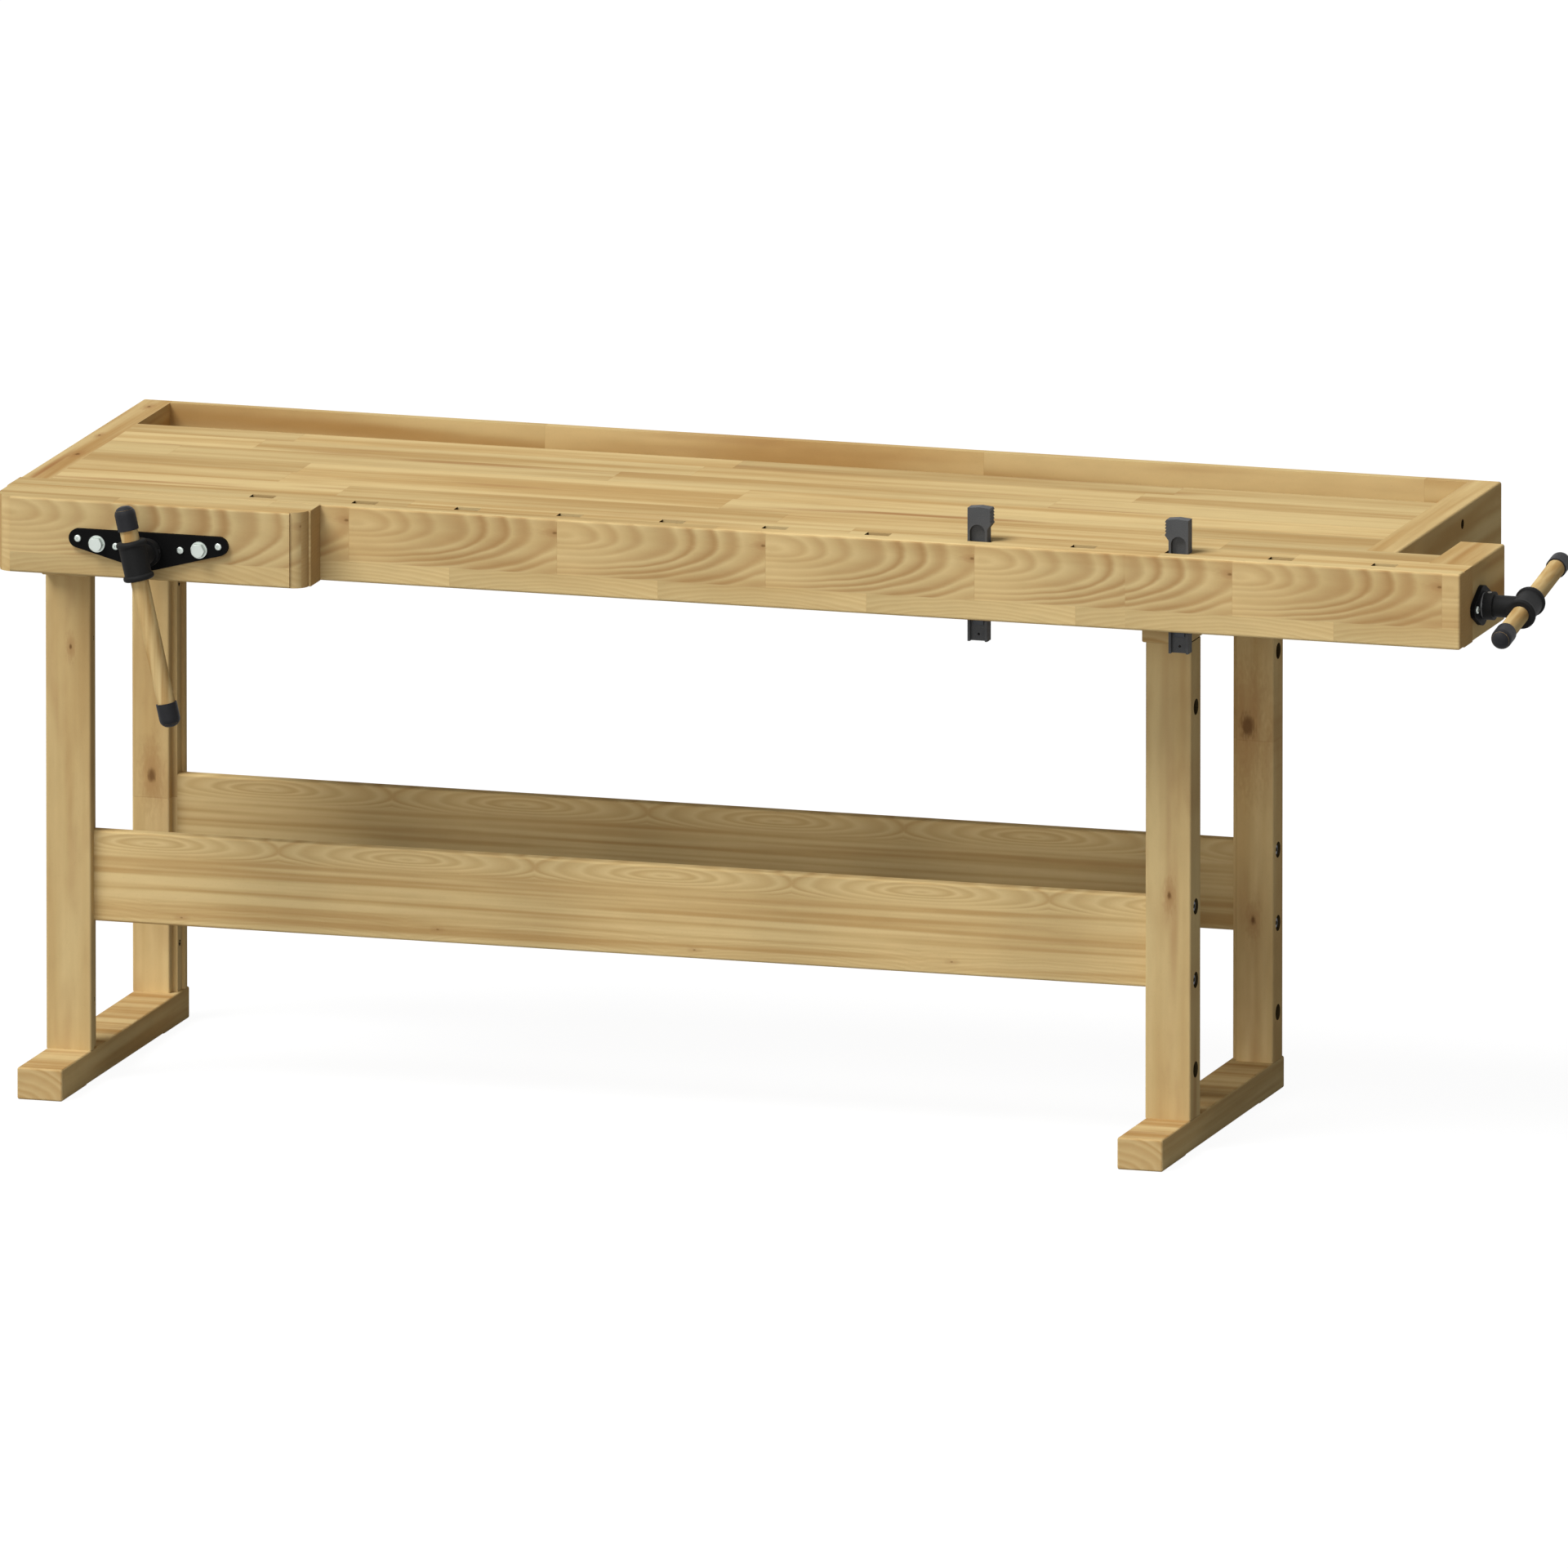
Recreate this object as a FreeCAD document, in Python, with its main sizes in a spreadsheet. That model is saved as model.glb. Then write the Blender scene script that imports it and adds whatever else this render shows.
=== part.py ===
"""A joiner's bench with a front vise, an L-shaped tail vise, bench dogs and a tool tray.

Bench frame, in millimetres: x runs along the top from its left end, y runs back from the
apron's face and z rises from the floor. Every piece is built there, and its Placement then
moves it to the reference point, on the floor below the middle of the whole bench.
"""
import FreeCAD, Part
import math
import os
import re
import Sketcher

SIZES = {
    # top
    "top_long": 1918, "top_deep": 614, "top_high": 850,
    "apron_high": 104, "front_lath": 21, "back_lath": 20,
    "slab_thick": 44, "cap_wide": 43, "rail_thick": 18,
    "tray_wide": 147, "tray_drop": 62, "tray_thick": 12, "tray_groove": 8,
    "lip_thick": 20, "lip_high": 42, "seat_play": 0.2, "edge_round": 3.5,
    # bench dogs and their holes
    "dog_long": 32.7, "dog_deep": 18, "dog_play": 0.5, "dog_neck": 27.5,
    "dog_rise": 47, "dog_drop": 137, "dog_crown": 1.5, "jaw_high": 23, "jaw_slope": 7,
    "tooth_deep": 1.8, "channel_wide": 21, "channel_deep": 7, "channel_drop": 24,
    "peep_radius": 1.8, "peep_rise": 9,
    "spring_wide": 14, "spring_thick": 1.2, "spring_low": 22, "spring_long": 95,
    "hole_first": 335, "hole_last_in": 83.4, "tail_hole_in": 48.7, "tail_hole_pitch": 144.2,
    # underframe
    "leg_wide": 64, "leg_deep": 47, "leg_flange": 13, "leg_step": 4, "leg_rebate": 11,
    "trestle_left": 4.5, "trestle_right_in": 364, "leg_round": 3,
    "foot_front": 25, "foot_long": 574, "foot_high": 44, "relief_high": 2.5, "pad_long": 110,
    "front_leg_in": 131, "leg_pitch": 388,
    "bearer_in": 115, "bearer_long": 462, "bearer_high": 46,
    "tenon_wide": 36, "tenon_deep": 22, "tenon_long": 28,
    "stretcher_high": 125, "stretcher_thick": 20.6, "stretcher_low": 221,
    "bolt_edge": 12, "spare_low": 110, "spare_high": 608,
    "batten_drop": 60, "bolt_in": 20,
    # frame fasteners
    "bolt_radius": 4, "bolt_bore": 4.25, "sink_radius": 11, "sink_deep": 12,
    "bolt_head": 6.5, "head_high": 8, "socket_radius": 3.4, "socket_deep": 4,
    "washer_radius": 10, "washer_thick": 1.6,
    "frame_bolt_long": 90, "nut_radius": 6, "nut_long": 14, "nut_back": 8,
    "cap_bolt_long": 100, "bore_spare": 2, "cap_sink": 16, "cap_bolt_front": 180, "cap_bolt_back": 426,
    "bearer_bolt_long": 70, "bearer_bolt_front": 225, "bearer_bolt_back": 405,
    # front vise
    "jaw_left": 2, "jaw_long": 440, "jaw_thick": 66, "bead_radius": 20, "quirk": 3,
    "front_drop": 64, "rod_spread": 144, "rod_drop": 57, "rod_radius": 8, "rod_seat": 26,
    "rod_back": 275, "plate_thick": 6, "lobe_spread": 198, "lobe_radius": 13, "lobe_drop": 51,
    "belly_radius": 26, "belly_drop": 13, "inner_screw_spread": 91, "inner_screw_drop": 8,
    "rod_bolt_radius": 5, "rod_bolt_long": 52, "hex_radius": 9.8, "hex_high": 7, "hex_face": 8.4,
    "hex_washer": 11.5, "hex_washer_thick": 2,
    "plate_screw_radius": 2.5, "plate_screw_long": 30, "button_radius": 4.9, "button_high": 2.6,
    "button_round": 1.8, "button_socket": 1.7, "button_socket_deep": 1.5,
    "block_long": 220, "block_deep": 60, "block_high": 52,
    "bush_wall": 2.5, "bush_long": 36, "run_play": 0.08,
    "nut_plate": 66, "nut_plate_high": 40, "nut_plate_deep": 8, "nut_boss": 18, "nut_boss_deep": 24,
    # screws and handles of both vises
    "screw_radius": 11, "front_screw_back": 312, "collar_radius": 16, "collar_thick": 5,
    "collar_play": 0.3, "thrust_radius": 17.75, "thrust_thick": 2,
    "hub_reach": 58, "hub_flange": 19.3, "hub_flange_long": 13, "hub_neck": 14.9,
    "hub_socket": 34, "tube_radius": 18.5, "tube_long": 54, "bead_out": 2.6, "bead_high": 8,
    "bead_round": 3.6, "pin_radius": 3,
    "handle_radius": 12.2, "handle_play": 0.35, "handle_long": 296,
    "cap_radius": 14.3, "cap_long": 33, "cap_wall_end": 5, "dome_radius": 11.7,
    "front_lean": 12.7, "front_slip": 78, "tail_lean": 10, "tail_slip": 27,
    # tail vise
    "seam_in": 346, "tail_long": 468, "tail_deep": 115, "tail_block": 61,
    "tail_block_deep": 214, "head_block": 48, "cover_thick": 26, "slide_play": 0.5,
    "tail_drop": 60, "tail_axis_in": 93, "tail_screw_long": 391,
    "tail_rod_front": 76, "tail_rod_back": 103.5, "tail_rod_drop": 87, "tail_rod_seat": 22,
    "ear_spread": 66, "ear_radius": 12, "ear_body": 27,
}

APRON_HOLES = 9
DOG_A_HOLE = 7
TAIL_HOLES = 3
TEETH = 5

PLACES = {
    "apron_deep": "front_lath + hole_deep + back_lath",
    "hole_deep": "dog_deep + 2 * dog_play",
    "hole_long": "dog_long + 2 * dog_play",
    "apron_low": "top_high - apron_high",
    "slab_low": "top_high - slab_thick",
    "slab_back": "top_deep - rail_thick - tray_wide",
    "tray_top": "top_high - tray_drop",
    "tray_low": "tray_top - tray_thick",
    "right_cap_at": "top_long - cap_wide",
    "tail_seam": "top_long - seam_in",
    "hole_pitch": f"(tail_seam - hole_last_in - hole_first) / {APRON_HOLES - 1}",
    "tail_hole_first": "tail_seam + tail_hole_in",
    "notch_back": "tail_deep + slide_play",
    "trestle_right": "top_long - trestle_right_in",
    "front_leg_at": "foot_front + front_leg_in",
    "back_leg_at": "front_leg_at + leg_pitch",
    "leg_top": "apron_low - bearer_high",
    "bearer_front": "foot_front + bearer_in",
    "left_bolt_x": "trestle_left + bolt_in",
    "stretcher_left": "trestle_left + leg_wide - leg_step",
    "stretcher_right": "trestle_right + leg_step",
    "bolt_low": "stretcher_low + bolt_edge",
    "bolt_high": "stretcher_low + stretcher_high - bolt_edge",
    "front_axis_x": "jaw_left + jaw_long / 2",
    "front_axis_z": "top_high - front_drop",
    "jaw_front": "-jaw_thick",
    "plate_front": "-jaw_thick - plate_thick",
    "rod_z": "top_high - rod_drop",
    "block_back": "apron_deep + block_deep",
    "block_low": "slab_low - block_high",
    "tail_end": "tail_seam + tail_long",
    "tail_block_at": "tail_end - tail_block",
    "tail_axis_z": "top_high - tail_drop",
    "tail_rod_z": "top_high - tail_rod_drop",
    "cover_low": "top_high - cover_thick",
    "tongue_top": "cover_low - slide_play",
    "tail_plate_out": "tail_end + plate_thick",
    "bench_front": "plate_front - hub_reach - tube_radius - bead_out",
    "right_reach": "tail_plate_out + hub_reach + tube_radius + bead_out",
    "origin_x": "right_reach / 2",
    "origin_y": "(bench_front + top_deep) / 2",
}

ALONG_X = FreeCAD.Rotation(FreeCAD.Vector(0, 1, 0), 90)
ALONG_Y = FreeCAD.Rotation(FreeCAD.Vector(1, 0, 0), -90)
ALONG_Z = FreeCAD.Rotation()
TURNED = {"x": ALONG_X, "y": ALONG_Y, "z": ALONG_Z}

doc = FreeCAD.newDocument("JoinersBench")
kept = []
bases = {}


def fill_sheet(name, rows, text_of):
    """A spreadsheet with one aliased cell a row."""
    sheet = doc.addObject("Spreadsheet::Sheet", name)
    for row, (alias, content) in enumerate(rows.items(), 1):
        sheet.set(f"A{row}", alias)
        sheet.set(f"B{row}", text_of(content))
        sheet.setAlias(f"B{row}", alias)
    return sheet


def bind(text):
    """Point each size or place named in an expression at its cell."""
    def cell(match):
        word = match.group()
        if word in SIZES:
            return "Sizes." + word
        if word in PLACES:
            return "Places." + word
        return word
    return re.sub(r"[a-z]+(?:_[a-z]+)*", cell, str(text))


sizes = fill_sheet("Sizes", SIZES, str)
places = fill_sheet("Places", PLACES, lambda text: "=" + bind(text))
doc.recompute()


def value(text):
    """The number that an expression stands for now."""
    return float(sizes.evalExpression(bind(text)))


def vector(x, y, z):
    return FreeCAD.Vector(value(x), value(y), value(z))


# ---- building blocks -------------------------------------------------------------------

def set_sizes(piece, **properties):
    for name, text in properties.items():
        piece.setExpression(name, bind(text))


def set_base(piece, x, y, z):
    bases[piece.Name] = (x, y, z)
    for axis, text in zip("xyz", (x, y, z)):
        piece.setExpression("Placement.Base." + axis, bind(text))


def box(x, y, z, long, deep, high):
    piece = doc.addObject("Part::Box", "Box")
    set_sizes(piece, Length=long, Width=deep, Height=high)
    set_base(piece, x, y, z)
    return piece


def rod(axis, x, y, z, radius, length):
    piece = doc.addObject("Part::Cylinder", "Rod")
    set_sizes(piece, Radius=radius, Height=length)
    piece.Placement = FreeCAD.Placement(FreeCAD.Vector(), TURNED[axis])
    set_base(piece, x, y, z)
    return piece


def join(*pieces):
    if len(pieces) == 1:
        return pieces[0]
    whole = doc.addObject("Part::MultiFuse", "Join")
    whole.Shapes = list(pieces)
    return whole


def cut(base, *tools):
    """Cut tools out of a piece. Each tool runs 1 mm past every face that it opens."""
    whole = doc.addObject("Part::Cut", "Cut")
    whole.Base = base
    whole.Tool = join(*tools)
    return whole


def group(*pieces):
    """Separate solids that share one name."""
    whole = doc.addObject("Part::Compound", "Group")
    whole.Links = list(pieces)
    return whole


def rounded(base, radius, chooses):
    """Fillet the straight edges that the chooser picks by middle point and direction."""
    doc.recompute()
    size = value(radius)
    picked = []
    for number, edge in enumerate(base.Shape.Edges, 1):
        if edge.Curve.TypeId != "Part::GeomLine":
            continue
        middle = edge.valueAt((edge.FirstParameter + edge.LastParameter) / 2)
        run = edge.tangentAt(edge.FirstParameter)
        if chooses(middle, run):
            picked.append((number, size, size))
    whole = doc.addObject("Part::Fillet", "Rounded")
    whole.Base = base
    whole.Edges = picked
    return whole


def sketched(name, role, corners):
    """A body with one closed sketch, its corners bound to expressions."""
    body = doc.addObject("PartDesign::Body", name)
    sketch = body.newObject("Sketcher::SketchObject", name + "_outline")
    plane = next(f for f in body.Origin.OriginFeatures if f.Role == role)
    sketch.AttachmentSupport = [(plane, "")]
    sketch.MapMode = "FlatFace"
    spots = [FreeCAD.Vector(value(u), value(v), 0) for u, v in corners]
    for index, spot in enumerate(spots):
        following = spots[(index + 1) % len(spots)]
        sketch.addGeometry(Part.LineSegment(spot, following), False)
    for index in range(len(spots)):
        following = (index + 1) % len(spots)
        sketch.addConstraint(Sketcher.Constraint("Coincident", index, 2, following, 1))
    for index, corner in enumerate(corners):
        for kind, text in zip(("DistanceX", "DistanceY"), corner):
            number = sketch.addConstraint(
                Sketcher.Constraint(kind, -1, 1, index, 1, value(text)))
            sketch.setExpression(f"Constraints[{number}]", bind(text))
    return body, sketch


def padded(name, role, corners, length, reverse=False):
    body, sketch = sketched(name, role, corners)
    pad = body.newObject("PartDesign::Pad", name + "_pad")
    pad.Profile = sketch
    pad.setExpression("Length", bind(length))
    pad.Reversed = reverse
    doc.recompute()
    return body


def turned(name, corners):
    """A body turned about its own z axis; the corners give radius and height."""
    body, sketch = sketched(name, "XZ_Plane", corners)
    spin = body.newObject("PartDesign::Revolution", name + "_turned")
    spin.Profile = sketch
    spin.ReferenceAxis = (sketch, ["V_Axis"])
    spin.Angle = 360
    doc.recompute()
    return body


def shaped(shape):
    """A piece whose form is worked out here as a solid of its own."""
    piece = doc.addObject("Part::Feature", "Shaped")
    piece.Shape = shape
    return piece


def keep(piece, name):
    """Name a finished piece and move it from the bench frame to the reference point."""
    piece.Label = name
    x, y, z = bases.get(piece.Name, ("0", "0", "0"))
    set_base(piece, f"{x} - origin_x", f"{y} - origin_y", z)
    kept.append(piece)
    return piece


def keep_at(piece, name, spin, x, y, z):
    """Name a piece built about its own origin, turn it and set it at a bench place."""
    piece.Label = name
    piece.Placement = FreeCAD.Placement(FreeCAD.Vector(), spin)
    set_base(piece, f"{x} - origin_x", f"{y} - origin_y", z)
    kept.append(piece)
    return piece


def near(a, b):
    return abs(a - b) < 1e-4


# ---- the top ---------------------------------------------------------------------------

def apron_bores():
    """Clearance holes of the front vise's screw and guide rods through the apron."""
    back = "apron_deep + 2"
    bores = [rod("y", "front_axis_x", "-1", "front_axis_z", "screw_radius + slide_play", back)]
    for side in (-1, 1):
        x = f"front_axis_x + {side} * rod_spread / 2"
        bores.append(rod("y", x, "-1", "rod_z", "rod_radius + slide_play", back))
    return bores


def strip_blocks(left, right, first, pitch, count):
    """The spacers that leave a square hole for a dog between each two of them."""
    edges = [left]
    for number in range(count):
        hole = f"{first} + {number} * {pitch}"
        edges += [hole, f"{hole} + hole_long"]
    edges.append(right)
    blocks = []
    for start, end in zip(edges[::2], edges[1::2]):
        blocks.append(box(start, "front_lath", "apron_low", f"{end} - ({start})",
                          "hole_deep", "apron_high"))
    return blocks


def build_apron():
    lath = box("0", "0", "apron_low", "tail_seam", "front_lath", "apron_high")

    def outer(middle, run):
        along = abs(run.x) > 0.9
        return along and near(middle.y, 0)
    keep(cut(rounded(lath, "edge_round", outer), *apron_bores()), "apron_front_lath")
    blocks = strip_blocks("0", "tail_seam", "hole_first", "hole_pitch", APRON_HOLES)
    blocks[0] = cut(blocks[0], *apron_bores())
    keep(group(*blocks), "apron_spacer_blocks")
    lath = box("0", "front_lath + hole_deep", "apron_low", "tail_seam", "back_lath", "apron_high")
    keep(cut(lath, *apron_bores()), "apron_back_lath")


def tray_panel(play):
    """The tray's floor, or with some play the groove that takes it."""
    return box(f"cap_wide - tray_groove - {play}", f"slab_back - tray_groove - {play}",
               f"tray_low - {play}", f"top_long - 2 * cap_wide + 2 * tray_groove + 2 * {play}",
               f"tray_wide + 2 * tray_groove + 2 * {play}", f"tray_thick + 2 * {play}")


def cap_bolt_rows():
    return "cap_bolt_front", "cap_bolt_back"


def cap_bolt_reach():
    return "cap_sink + head_high + cap_bolt_long + bore_spare"


def cap_bolt_bores(side):
    """Bores of the end cap bolts: +1 starts at the right end, -1 at the left."""
    start = "top_long" if side > 0 else "0"
    z = "top_high - slab_thick / 2"
    bores = []
    for y in cap_bolt_rows():
        shank_from = f"{start} - ({cap_bolt_reach()})" if side > 0 else "0"
        sink_from = f"{start} - cap_sink - head_high" if side > 0 else "-1"
        bores.append(rod("x", shank_from, y, z, "bolt_bore", cap_bolt_reach()))
        bores.append(rod("x", sink_from, y, z, "bolt_head + seat_play",
                         "cap_sink + head_high + 1"))
    return bores


def cap_nut_spots():
    """Middle of each barrel nut that an end cap bolt screws into, in the slab."""
    reach = "cap_sink + head_high + cap_bolt_long - nut_back"
    return [(x, y) for x in (reach, f"top_long - ({reach})") for y in cap_bolt_rows()]


def build_slab():
    slab = box("cap_wide", "apron_deep", "slab_low", "top_long - 2 * cap_wide",
               "slab_back - apron_deep", "slab_thick")
    notch = box("tail_seam", "0", "slab_low - 1", "top_long", "notch_back", "slab_thick + 2")
    tools = [notch] + cap_bolt_bores(-1) + cap_bolt_bores(1)
    for x, y in cap_nut_spots():
        tools.append(rod("z", x, y, "slab_low - 1", "nut_radius + seat_play",
                         "slab_thick / 2 + nut_long / 2 + 1"))
    keep(cut(slab, *tools), "worktop_slab")
    lip = box("cap_wide", "slab_back - lip_thick", "slab_low - lip_high",
              "top_long - 2 * cap_wide", "lip_thick", "lip_high")
    keep(cut(lip, tray_panel("seat_play")), "tray_lip")
    keep(tray_panel("0"), "tray_floor")
    rail = box("cap_wide", "top_deep - rail_thick", "apron_low", "top_long - 2 * cap_wide",
               "rail_thick", "apron_high")

    def outer(middle, run):
        return abs(run.x) > 0.9 and near(middle.y, value("top_deep"))
    keep(cut(rounded(rail, "edge_round", outer), tray_panel("seat_play")), "back_rail")
    batten = box("trestle_right", "notch_back + slide_play", "slab_low - batten_drop", "leg_wide",
                 "slab_back - lip_thick - notch_back - slide_play", "batten_drop")
    keep(cut(batten, *bearer_bolt_bores("trestle_right + leg_wide / 2")), "cross_batten")


def bearer_bolt_bores(x):
    bores = []
    for y in ("bearer_bolt_front", "bearer_bolt_back"):
        bores.append(rod("z", x, y, "leg_top - 1", "bolt_bore",
                         "sink_deep + bearer_bolt_long + 2"))
        bores.append(rod("z", x, y, "leg_top - 1", "sink_radius", "sink_deep + 1"))
    return bores


def build_end_caps():
    def outer(middle, run):
        end = near(middle.x, 0) or near(middle.x, value("top_long"))
        high = near(middle.z, value("top_high")) and near(middle.y, value("top_deep"))
        return end or high
    left = box("0", "apron_deep", "apron_low", "cap_wide", "top_deep - apron_deep", "apron_high")
    keep(cut(rounded(left, "edge_round", outer), tray_panel("seat_play"), *cap_bolt_bores(-1),
             *bearer_bolt_bores("left_bolt_x")), "end_cap_left")
    right = box("right_cap_at", "notch_back", "apron_low", "cap_wide",
                "top_deep - notch_back", "apron_high")
    tongue = box("right_cap_at", "apron_deep + slide_play", "apron_low", "cap_wide",
                 "notch_back - apron_deep - slide_play", "tongue_top - apron_low")
    tools = [tray_panel("seat_play")] + cap_bolt_bores(1)
    tools.append(rod("x", "right_cap_at - 1", "tail_axis_in", "tail_axis_z",
                     "screw_radius + slide_play", "cap_wide + 2"))
    for y in ("tail_rod_front", "tail_rod_back"):
        tools.append(rod("x", "right_cap_at - 1", y, "tail_rod_z",
                         "rod_radius + bush_wall", "cap_wide + 2"))
    body = join(rounded(right, "edge_round", outer), tongue)
    keep(cut(body, *tools), "end_cap_right")


# ---- frame fasteners -------------------------------------------------------------------

def socket_bolt(length):
    """A socket head bolt: the head's face at the origin, its shank along +z."""
    head = Part.makeCylinder(value("bolt_head"), value("head_high"))
    head = head.cut(hexagon_shape("socket_radius", "socket_deep"))
    start = FreeCAD.Vector(0, 0, value("head_high"))
    return head.fuse(Part.makeCylinder(value("bolt_radius"), value(length), start))


def hexagon_shape(radius, length):
    """A hexagonal prism on the z axis."""
    size = value(radius)
    corners = [FreeCAD.Vector(size * math.cos(math.radians(60 * turn)),
                              size * math.sin(math.radians(60 * turn)), 0) for turn in range(7)]
    return Part.Face(Part.makePolygon(corners)).extrude(FreeCAD.Vector(0, 0, value(length)))


def ring_shape(outer, inner, thick):
    solid = Part.makeCylinder(value(outer), value(thick))
    return solid.cut(Part.makeCylinder(value(inner), value(thick)))


def copies(shape, spots):
    """Copies of one fastener: each spot is a point and the direction of its own z axis."""
    result = []
    for point, direction in spots:
        copy = shape.copy()
        spin = FreeCAD.Rotation(FreeCAD.Vector(0, 0, 1), direction)
        copy.Placement = FreeCAD.Placement(point, spin).multiply(shape.Placement)
        result.append(copy)
    return shaped(Part.makeCompound(result))


def leg_bolt_spots(depth):
    """Where the stretcher bolts enter the legs' outer faces, this deep below the face."""
    spots = []
    ends = (("trestle_left", 1), ("trestle_right + leg_wide", -1))
    for start, side in ends:
        for leg in ("front_leg_at", "back_leg_at"):
            for z in ("bolt_low", "bolt_high"):
                point = vector(f"{start} + {side} * ({depth})", f"{leg} + leg_deep / 2", z)
                spots.append((point, FreeCAD.Vector(side, 0, 0)))
    return spots


def build_frame_fasteners():
    x_way = FreeCAD.Vector(1, 0, 0)
    bolt = socket_bolt("frame_bolt_long")
    keep(copies(bolt, leg_bolt_spots("sink_deep - washer_thick - head_high")), "stretcher_bolts")
    washer = ring_shape("washer_radius", "bolt_bore", "washer_thick")
    keep(copies(washer, leg_bolt_spots("sink_deep - washer_thick")), "stretcher_washers")
    nut = Part.makeCylinder(value("nut_radius"), value("nut_long"),
                            FreeCAD.Vector(0, 0, -value("nut_long") / 2))
    cross = Part.makeCylinder(value("bolt_bore"), 4 * value("nut_radius"),
                              FreeCAD.Vector(-2 * value("nut_radius"), 0, 0), x_way)
    nut = nut.cut(cross)
    spots = [(point, FreeCAD.Vector(0, 1, 0)) for point, way in leg_bolt_spots(nut_depth())]
    middle = "top_high - slab_thick / 2"
    spots += [(vector(x, y, middle), FreeCAD.Vector(0, 0, 1)) for x, y in cap_nut_spots()]
    keep(copies(nut, spots), "barrel_nuts")
    bolt = socket_bolt("cap_bolt_long")
    spots = []
    for start, side in (("cap_sink", 1), ("top_long - cap_sink", -1)):
        for y in cap_bolt_rows():
            spots.append((vector(start, y, middle), FreeCAD.Vector(side, 0, 0)))
    keep(copies(bolt, spots), "end_cap_bolts")
    bolt = socket_bolt("bearer_bolt_long")
    spots = []
    for x in ("left_bolt_x", "trestle_right + leg_wide / 2"):
        for y in ("bearer_bolt_front", "bearer_bolt_back"):
            spots.append((vector(x, y, "leg_top + sink_deep - head_high"),
                          FreeCAD.Vector(0, 0, 1)))
    keep(copies(bolt, spots), "bearer_bolts")


# ---- the underframe --------------------------------------------------------------------

def nut_depth():
    return "sink_deep - washer_thick + frame_bolt_long - nut_back"


def tenons(x, leg, play):
    """The leg's two tenons, or with some play their mortises."""
    wide, deep = f"tenon_wide + 2 * {play}", f"tenon_deep + 2 * {play}"
    left = f"{x} - {play}"
    front = f"{leg} + (leg_deep - tenon_deep) / 2 - {play}"
    high = f"tenon_long + {play}"
    return [box(left, front, f"foot_high - tenon_long - {play}", wide, deep, high),
            box(left, front, "leg_top", wide, deep, high)]


def build_leg(name, left_side, front_side):
    """One leg: its section steps in twice towards the middle of the bench's length."""
    outer = "trestle_left" if left_side else "trestle_right + leg_wide"
    way = 1 if left_side else -1
    leg = "front_leg_at" if front_side else "back_leg_at"
    deeps = ["0", "leg_flange", "leg_flange + stretcher_thick", "leg_deep"]
    if not front_side:
        deeps = [f"leg_deep - ({deep})" for deep in deeps]
    wides = ["leg_wide", "leg_wide - leg_step", "leg_wide - leg_rebate"]
    corners = [(outer, f"{leg} + {deeps[0]}")]
    for wide, start, end in zip(wides, deeps, deeps[1:]):
        x = f"{outer} + {way} * ({wide})"
        corners += [(x, f"{leg} + {start}"), (x, f"{leg} + {end}")]
    corners.append((outer, f"{leg} + {deeps[3]}"))
    post = padded(name + "_post", "XY_Plane", corners, "leg_top - foot_high")
    set_base(post, "0", "0", "foot_high")
    leg_y = value(leg)

    def long_edges(middle, run):
        on_face = near(middle.y, leg_y) or near(middle.y, leg_y + value("leg_deep"))
        return abs(run.z) > 0.9 and on_face
    post = rounded(post, "leg_round", long_edges)
    tools = []
    for z in ("spare_low", "bolt_low", "bolt_high", "spare_high"):
        middle = f"{leg} + leg_deep / 2"
        low = f"{outer} - 1" if left_side else f"{outer} - leg_wide - 1"
        tools.append(rod("x", low, middle, z, "bolt_bore", "leg_wide + 2"))
        sink = f"{outer} - 1" if left_side else f"{outer} - sink_deep"
        tools.append(rod("x", sink, middle, z, "sink_radius", "sink_deep + 1"))
    tenon_left = f"{outer} + leg_flange" if left_side else f"{outer} - leg_flange - tenon_wide"
    keep(cut(join(post, *tenons(tenon_left, leg, "0")), *tools), name)


def trestle_sides():
    return (("left", "trestle_left", "trestle_left + leg_flange"),
            ("right", "trestle_right", "trestle_right + leg_wide - leg_flange - tenon_wide"))


def build_trestles():
    for side, left, tenon_left in trestle_sides():
        for place, front_side in (("front", True), ("back", False)):
            build_leg(f"leg_{place}_{side}", side == "left", front_side)
        mortises = []
        for leg in ("front_leg_at", "back_leg_at"):
            mortises += tenons(tenon_left, leg, "seat_play")
        foot = rounded(box(left, "foot_front", "0", "leg_wide", "foot_long", "foot_high"),
                       "leg_round", lambda middle, run: True)
        relief = box(f"{left} - 1", "foot_front + pad_long", "-1", "leg_wide + 2",
                     "foot_long - 2 * pad_long", "relief_high + 1")
        keep(cut(foot, relief, *mortises), "foot_" + side)
        bearer = box(left, "bearer_front", "leg_top", "leg_wide", "bearer_long", "bearer_high")
        low = value("leg_top")
        bearer = rounded(bearer, "leg_round", lambda middle, run: near(middle.z, low))
        bolt_x = "left_bolt_x" if side == "left" else "trestle_right + leg_wide / 2"
        keep(cut(bearer, *mortises, *bearer_bolt_bores(bolt_x)), "bearer_" + side)


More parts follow.
